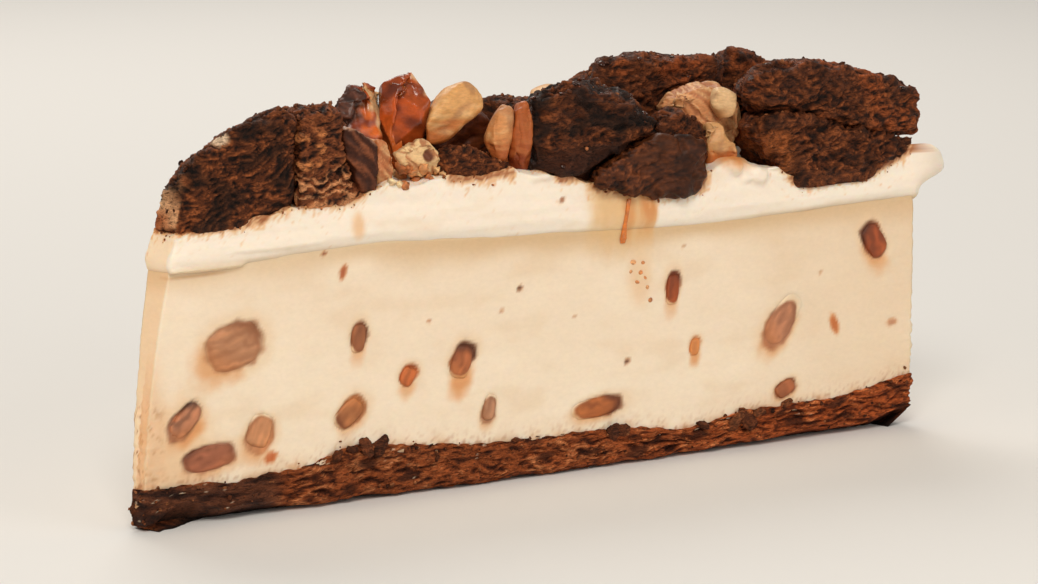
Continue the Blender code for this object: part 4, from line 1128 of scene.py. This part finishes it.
def glazed_nut(places, normals, seed):
    """A nut under dark caramel, bare and pale along its upper far edge."""
    unit = in_box(places)
    past, cut = facets(places, seed, 0.55)
    colours = blend((168, 74, 28), (98, 40, 18), smooth(noise(places / 2.6, seed), -0.2, 0.35))
    near_end = smooth(-unit[:, 0], -0.3, -0.12) * smooth(-unit[:, 2], -0.62, -0.4)
    colours = blend(colours, (186, 92, 40), near_end)
    colours = colours * facet_shade(cut, 0.8, 0.4)
    bare = smooth(unit[:, 0] + 0.5 * unit[:, 2] + 0.15 * noise(places / 1.5, seed + 1), 1.04, 1.14)
    colours = blend(colours, (226, 190, 152), 0.9 * bare)
    strip = smooth(-np.abs(unit[:, 0] + 0.35 * unit[:, 2] - 0.86), -0.09, -0.04)
    colours = blend(colours, (214, 150, 96), 0.7 * (strip * smooth(-unit[:, 2], -0.6, -0.4)))
    return 0.2 * noise(places / 2.0, seed + 2) - past, colours, 0.95 - 0.5 * bare


def caramel(places, normals, seed):
    """Amber over crumb and a nut: dark crust at one end, pale nut at the other."""
    unit = in_box(places)
    past, cut = facets(places, seed, 0.55)
    field = torn(places, (2.0, 1.8, 0.9), seed + 6)
    colours = blend((190, 92, 34), (120, 48, 20), smooth(noise(places / 1.8, seed + 1), -0.2, 0.25))
    colours = colours * facet_shade(cut, 0.8, 0.4)
    dark = smooth(-unit[:, 0] + 0.3 * unit[:, 2] + 0.3 * noise(places / 1.8, seed + 2), -0.2, 0.0)
    colours = blend(colours, blend((30, 14, 9), (96, 50, 30), field), 0.92 * dark)
    pale = smooth(unit[:, 0] + 0.25 * noise(places / 1.4, seed + 3), 0.56, 0.68)
    colours = blend(colours, (228, 186, 136), 0.9 * (pale * smooth(unit[:, 2], 0.42, 0.56)))
    low = smooth(-unit[:, 2] + 0.1 * noise(places / 2.0, seed + 5), -0.42, -0.25)
    colours = blend(colours, blend((52, 24, 14), (120, 62, 34), field), 0.9 * low)
    rough = np.clip(dark + low, 0.0, 1.0)
    shift = 0.4 * noise(places / 1.8, seed + 4) + 0.7 * rough * (field - 0.5) - past
    return shift, colours, 0.8 - 0.8 * rough


def nut(places, normals, seed, colour, low, bite=0.15, pale=0.5):
    """A whole or halved nut, pale above and darker where caramel has run under it."""
    unit = in_box(places)
    past, _ = facets(places, seed, bite)
    fibres = noise(warp(places, 3.0, 0.5, seed) / (3.4, 1.2, 0.7), seed + 1)
    colours = blend(colour, low, 0.85 * smooth(-unit[:, 2] - 0.2 * fibres, -0.45, -0.1))
    colours = blend(colours, PALE_NUT, pale * smooth(fibres, 0.0, 0.6))
    colours = blend(colours, (160, 112, 80), 0.9 * pale * smooth(noise(places / 2.6, seed + 2), 0.15, 0.5))
    return 0.12 * noise(places / 1.6, seed + 3) + 0.05 * fibres - past, colours, 0.45


def flaky(places, normals, seed, colour, hole=0.0, bite=0.35):
    """A broken nut with slanting fibres."""
    unit = in_box(places)
    past, cut = facets(places, seed, bite)
    slanted = leaned(places, -37.0)
    fibres = 1.0 - 2.4 * np.abs(fractal(warp(slanted, 3.0, 0.4, seed) / (7.0, 2.4, 0.7), seed + 1, 2))
    colours = np.multiply(colour, facet_shade(cut, 0.9, 0.2))
    colours = blend(colours, (164, 98, 60), 0.75 * smooth(-fibres, -0.3, 0.4))
    colours = blend(colours, PALE_NUT, 0.7 * smooth(fibres, 0.5, 1.0))
    colours = blend(colours, (184, 100, 54), 0.45 * smooth(noise(places / 3.2, seed + 3), 0.1, 0.5))
    away = np.linalg.norm((unit - (0.66, 0.0, 0.55)) / (0.16, 0.9, 0.2), axis=1)
    dent = hole * smooth(-away, -1.2, -0.7)
    colours = blend(colours, (112, 62, 38), dent)
    return 0.16 * (fibres - 0.4) + 0.2 * noise(places / 2.6, seed + 2) - past - 0.5 * dent, colours, 0.3


KINDS = {
    "brownie": (brownie, "brownie"), "nutty": (nutty, "brownie"), "shard": (shard, "fudge"),
    "fudge": (fudge, "fudge"), "glazed_nut": (glazed_nut, "caramel"), "caramel": (caramel, "caramel"),
    "nut": (nut, "nut"), "flaky": (flaky, "nut"),
}
# How far a topping's skin stands out all over, and how far its foot is let into the cream, over FOOT_TALL.
SWELL = 0.2
SINK = 0.8
FOOT_TALL = 1.6


def make_lump(node, seed):
    """A topping's fine form: its solid, torn and painted, with its foot let into the cream."""
    kind, voxel, settings = LUMPS[node]
    recipe, skin_name = KINDS[kind]
    points, faces = fine_copy(node, voxel)
    normals = normals_of(points, faces)
    places = to_face(points)
    shift, colours, wet = recipe(places, normals @ face_axes(FRONT).T, seed, **settings)
    low = points[:, 2].min()
    points = points + normals * (SWELL + shift)[:, None]
    points[:, 2] -= SINK * smooth(-points[:, 2], -low - FOOT_TALL, -low) * smooth(-normals[:, 2], 0.0, 0.6)
    piece(f"{node}_food", points, faces, colours, wet, SKINS[skin_name], SLOTS[kind], [node])


# ---- Drips, crumbs and nut bits


def pebble(detail):
    """Unit directions spread over a ball, and the triangles between them."""
    ball = bmesh.new()
    bmesh.ops.create_icosphere(ball, subdivisions=detail, radius=1.0)
    points = np.array([vertex.co[:] for vertex in ball.verts])
    faces = np.array([[vertex.index for vertex in face.verts] for face in ball.faces])
    ball.free()
    return points, faces


def heap_of(places, normals, sizes, colours, seed, flatness, rough, detail=2):
    """(points, faces, colours) of small ragged bits, one at each place."""
    chance = np.random.default_rng(seed)
    ball, ball_faces = pebble(detail)
    points, faces, paints = [], [], []
    for place, normal, size, colour in zip(places, normals, sizes, colours):
        turn = Matrix.Rotation(chance.uniform(0.0, 6.3), 3, "Z")
        spun = Vector(normal).to_track_quat("Z", "Y").to_matrix() @ turn
        shape = chance.uniform(0.7, 1.25, 3) * (1.0, 0.8, flatness)
        swell = 1.0 + rough * noise(ball * 1.7 + chance.uniform(0.0, 90.0, 3), seed)
        bit = (ball * swell[:, None] * shape * size / 2.0) @ np.array(spun).T
        faces.append(ball_faces + len(ball) * len(points))
        points.append(bit + place)
        shade = 0.8 + 0.5 * (noise(ball * 2.6 + chance.uniform(0.0, 90.0, 3), seed + 1) + 0.4)
        paints.append(np.asarray(colour) * shade[:, None])
    return np.concatenate(points), np.concatenate(faces), np.clip(np.concatenate(paints), 0.0, 255.0)


def picked(name, share_of, count, seed):
    """(points, normals) picked by chance on a finished piece, more of them where share_of is high."""
    points, faces = SURFACES[name]
    if isinstance(faces, list):
        faces = np.array([face for face in faces if len(face) == 4])
    normals = normals_of(points, faces)
    share = np.maximum(share_of(points, normals), 0.0)
    found = np.random.default_rng(seed).choice(len(points), count, replace=False, p=share / share.sum())
    return points[found], normals[found]


def tints(palette, count, seed):
    return np.array(palette, float)[np.random.default_rng(seed).integers(len(palette), size=count)]


CRUMB_TINTS = ((84, 44, 24), (118, 66, 38), (150, 92, 56), (62, 32, 18))
GOLDEN_TINTS = ((176, 108, 62), (204, 142, 92), (148, 86, 48), (122, 66, 36))
SEAM_TINTS = ((112, 60, 34), (90, 46, 26), (146, 88, 54), (176, 116, 76))
GLAZE_TINTS = ((52, 24, 12), (70, 32, 15), (96, 46, 22))
NUT_TINTS = ((226, 176, 122), (204, 140, 88), (178, 108, 62), (232, 198, 152))


def scatter(
    name, host, share_of, count, low, high, palette, skin_name, slot, seed, flatness=0.7, rough=0.6, wet=0.15,
    detail=1,
):
    """Bits of one kind lying on a finished piece."""
    places, normals = picked(host, share_of, count, seed)
    sizes = low + (high - low) * np.random.default_rng(seed + 1).random(count) ** 2
    places += normals * 0.1 * sizes[:, None]
    made = heap_of(places, normals, sizes, tints(palette, count, seed + 2), seed, flatness, rough, detail)
    piece(name, *made, wet, SKINS[skin_name], slot)


def on_wall(points, normals):
    """1 on the upright walls."""
    return smooth(-np.abs(normals[:, 2]), -0.5, -0.2)


def just_above_crust(points, normals):
    above = points[:, 2] - CRUST_TOP_AT(points)
    clumped = smooth(noise(points / 4.0, 68), -0.1, 0.3)
    return on_wall(points, normals) * np.exp(-np.maximum(above, 0.0) / 0.45) * (above > -0.4) * clumped


def upward(points, normals):
    return smooth(normals[:, 2], 0.2, 0.7)


# Crumbs on the cream lie between these distances from a brownie, and thin out past the middle one.
CRUMBS_FROM, CRUMBS_THIN_FROM, CRUMBS_TO = 0.5, 0.8, 2.4
CRUMBS_THIN_OVER = 0.35


def near_dark(points, normals):
    """High on the cream close to the brownies."""
    gap = fringe_of(points, DARK_TREE)
    thinned = np.exp(-np.maximum(gap - CRUMBS_THIN_FROM, 0.0) / CRUMBS_THIN_OVER)
    return thinned * (gap > CRUMBS_FROM) * (gap < CRUMBS_TO)


def make_crumbs():
    """Crumbs of crust and brownie on the walls, the cream and the brownies."""
    scatter("crust_crumbs", "crust", on_wall, 320, 0.3, 0.9, CRUMB_TINTS, "crust", "crust", 900, flatness=0.6)
    scatter(
        "seam_crumbs", "filling", just_above_crust, 110, 0.3, 1.0, SEAM_TINTS, "crust", "crust", 910,
        flatness=0.35, rough=0.35,
    )
    scatter(
        "cream_crumbs", "cream", near_dark, 900, 0.18, 0.55, GOLDEN_TINTS, "brownie", "brownie", 920,
        flatness=0.5,
    )
    for number, host in enumerate(("brownie_front", "brownie_rim_upper", "brownie_back")):
        scatter(
            f"{host}_beads", f"{host}_food", upward, 60, 0.3, 1.1, GLAZE_TINTS, "caramel", "caramel",
            890 + number, flatness=0.4, rough=0.25, wet=1.0, detail=2,
        )
    for number, host in enumerate(node for node, lump in LUMPS.items() if lump[0] in ("brownie", "nutty")):
        scatter(
            f"{host}_crumbs", f"{host}_food", upward, 60, 0.35, 1.1, CRUMB_TINTS, "brownie", "brownie",
            930 + 5 * number,
        )


# Loose nut bits seen on the front: (along, height, size).
NUT_BITS = (
    (40.3, 44.7, 2.4), (39.2, 43.7, 1.6), (41.9, 45.4, 1.8), (43.0, 43.9, 1.6), (45.1, 44.1, 1.5),
    (46.4, 44.9, 1.4), (41.3, 43.1, 1.4), (44.3, 45.3, 1.7), (40.8, 45.6, 1.9), (42.6, 44.8, 1.5),
    (47.6, 44.2, 1.2), (39.6, 44.9, 1.7), (43.6, 44.7, 1.3), (45.6, 43.7, 1.0), (40.4, 43.4, 1.2),
)


# How far before the front face, along the view, the search for seen spots starts.
SEEN_FROM = 60.0


def view_way():
    """Unit vector from the camera to what it looks at."""
    turn, pitch = math.radians(-CAMERA_TURN), math.radians(CAMERA_PITCH)
    return Vector((-math.sin(turn) * math.cos(pitch), math.cos(turn) * math.cos(pitch), -math.sin(pitch)))


def front_hits(spots):
    """(points, outward normals) of the finished food seen at spots (along, height) of the front face."""
    points, faces = [], []
    for name, (own_points, own_faces) in SURFACES.items():
        if not name.endswith(("crumbs", "beads")):
            own = np.asarray(own_faces, object).tolist()
            faces += [[len(points) + corner for corner in face] for face in own]
            points += own_points.tolist()
    tree = BVHTree.FromPolygons(points, faces)
    way = view_way()
    starts = [Vector(from_face((along, 0.0, height))) - SEEN_FROM * way for along, height in spots]
    found = [tree.ray_cast(start, way) for start in starts]
    return np.array([hit[0][:] for hit in found]), np.array([hit[1][:] for hit in found])


def make_nut_bits():
    places, normals = front_hits([bit[:2] for bit in NUT_BITS])
    sizes = np.array([bit[2] for bit in NUT_BITS])
    made = heap_of(places + normals * 0.1, normals, sizes, tints(NUT_TINTS, len(sizes), 970), 971, 0.6, 0.7)
    piece("nut_bits", *made, 0.3, SKINS["nut"], "toffee")


# Clumps of crust stuck to the front of the filling, just over the seam: (along, height, size).
SEAM_CLUMPS = (
    (97.8, 4.1, 3.0), (99.8, 4.4, 3.4), (101.9, 4.8, 2.6), (91.9, 4.3, 2.6),
    (76.2, 5.0, 2.4), (77.9, 5.1, 2.6), (59.5, 5.8, 2.0), (32.6, 7.5, 2.6),
    (34.9, 7.7, 3.2), (37.2, 7.6, 3.0), (30.2, 6.8, 2.2), (107.0, 5.8, 2.2),
)
CLUMP_TINTS = ((98, 52, 29), (80, 42, 24), (118, 68, 40))


def make_seam_clumps():
    clumps = np.array(SEAM_CLUMPS)
    places, normals = front_hits(clumps[:, :2])
    made = heap_of(places, normals, clumps[:, 2], tints(CLUMP_TINTS, len(clumps), 990), 991, 0.3, 0.45, 3)
    piece("seam_clumps", *made, 0.1, SKINS["crust"], "crust")


# The caramel drip down the front, from under the fudge: (along, height, half width), then its loose drops.
DRIP_PATH = (
    (78.7, 38.2, 0.36), (78.5, 37.2, 0.34), (78.3, 36.0, 0.3), (78.0, 34.7, 0.34),
    (77.8, 33.6, 0.44), (77.65, 32.7, 0.58), (77.6, 32.0, 0.4),
)
DRIP_DROPS = (
    (79.5, 29.1, 0.5), (80.8, 27.5, 0.42), (82.0, 25.3, 0.36), (79.1, 27.8, 0.34), (81.2, 28.9, 0.36),
    (80.2, 26.2, 0.4), (82.5, 23.4, 0.4), (81.6, 26.7, 0.3),
)
DRIP_PROUD = 0.3
DRIP_CORNERS = 12


def make_drip():
    """A thin flattened run of caramel lying on the front, and drops below it."""
    path = np.array(DRIP_PATH)
    steps = np.linspace(0.0, len(path) - 1.0, 8 * len(path))
    fine = np.column_stack([np.interp(steps, np.arange(len(path)), column) for column in path.T])
    places, _ = front_hits(fine[:, :2])
    middles = to_face(places)
    around = np.linspace(0.0, 2.0 * math.pi, DRIP_CORNERS + 1)[:-1]
    rings = middles[:, None, :] + fine[:, 2, None, None] * np.stack(
        (np.cos(around), -DRIP_PROUD - DRIP_PROUD * np.sin(around), 0.0 * around), axis=1
    )
    index = np.arange(DRIP_CORNERS)
    faces = tube(DRIP_CORNERS, len(fine) - 1)
    faces += [index[::-1].tolist(), (DRIP_CORNERS * (len(fine) - 1) + index).tolist()]
    points = from_face(rings.reshape(-1, 3))
    piece("caramel_drip", points, faces, np.tile(DRIP, (len(points), 1)), 1.0, SKINS["caramel"], "caramel")
    drops = np.array(DRIP_DROPS)
    places, normals = front_hits(drops[:, :2])
    colours = tints((DROP, (206, 130, 76)), len(drops), 980)
    made = heap_of(places, normals, 2.0 * drops[:, 2], colours, 981, 0.15, 0.2)
    piece("caramel_drops", *made, 0.5, SKINS["caramel"], "caramel")


# ---- Stage


FLOOR_REACH = 2.5
SENSOR_WIDTH = 36.0


def area_light(name, place, size, watts, colour):
    lamp = bpy.data.lights.new(name, "AREA")
    lamp.energy = watts
    lamp.size = size
    lamp.color = colour
    made = bpy.data.objects.new(name, lamp)
    made.location = place
    made.rotation_euler = (Vector(CAMERA_TARGET) - Vector(place)).to_track_quat("-Z", "Y").to_euler()
    bpy.context.scene.collection.objects.link(made)


def make_stage():
    """A pale floor, soft lamps and the camera."""
    mesh = bpy.data.meshes.new("floor")
    reach = FLOOR_REACH
    corners = [(-reach, -reach, 0.0), (reach, -reach, 0.0), (reach, reach, 0.0), (-reach, reach, 0.0)]
    mesh.from_pydata(corners, [], [(0, 1, 2, 3)])
    made = bpy.data.objects.new("floor", mesh)
    bpy.context.scene.collection.objects.link(made)
    matte = bpy.data.materials.new("floor")
    matte.use_nodes = True
    shader = matte.node_tree.nodes["Principled BSDF"]
    shader.inputs["Base Color"].default_value = (0.8, 0.79, 0.77, 1.0)
    shader.inputs["Roughness"].default_value = 0.9
    mesh.materials.append(matte)
    world = bpy.data.worlds.new("studio")
    world.use_nodes = True
    background = world.node_tree.nodes["Background"]
    background.inputs["Color"].default_value = (1.0, 0.96, 0.9, 1.0)
    background.inputs["Strength"].default_value = 0.34
    bpy.context.scene.world = world
    area_light("key", (-0.45, -0.42, 0.62), 0.3, 3.5, (1.0, 0.94, 0.86))
    area_light("fill", (0.2, -0.8, 0.3), 0.6, 1.7, (1.0, 0.95, 0.88))
    area_light("rim", (0.3, 0.5, 0.6), 0.5, 3.0, (1.0, 0.94, 0.86))
    area_light("side", (-0.8, 0.1, 0.22), 0.4, 0.6, (1.0, 0.88, 0.74))
    forward = view_way()
    lens = bpy.data.cameras.new("camera")
    lens.lens = CAMERA_LENS
    lens.sensor_width = SENSOR_WIDTH
    camera = bpy.data.objects.new("camera", lens)
    camera.location = Vector(CAMERA_TARGET) - forward * CAMERA_DISTANCE
    camera.rotation_euler = forward.to_track_quat("-Z", "Y").to_euler()
    bpy.context.scene.collection.objects.link(camera)
    bpy.context.scene.camera = camera
    bpy.context.scene.view_settings.view_transform = "Standard"


DARK_KINDS = ("brownie", "nutty", "shard", "fudge")
DARK_TREE = tree_of(*[node for node, lump in LUMPS.items() if lump[0] in DARK_KINDS])
make_crust()
make_filling()
make_cream(DARK_TREE, tree_of(*LUMPS))
for number, set_nut in enumerate(SET_NUTS):
    make_set_nut(set_nut, number)
for number, topping in enumerate(LUMPS):
    make_lump(topping, 400 + 40 * number)
make_crumbs()
make_nut_bits()
make_seam_clumps()
make_drip()
make_stage()
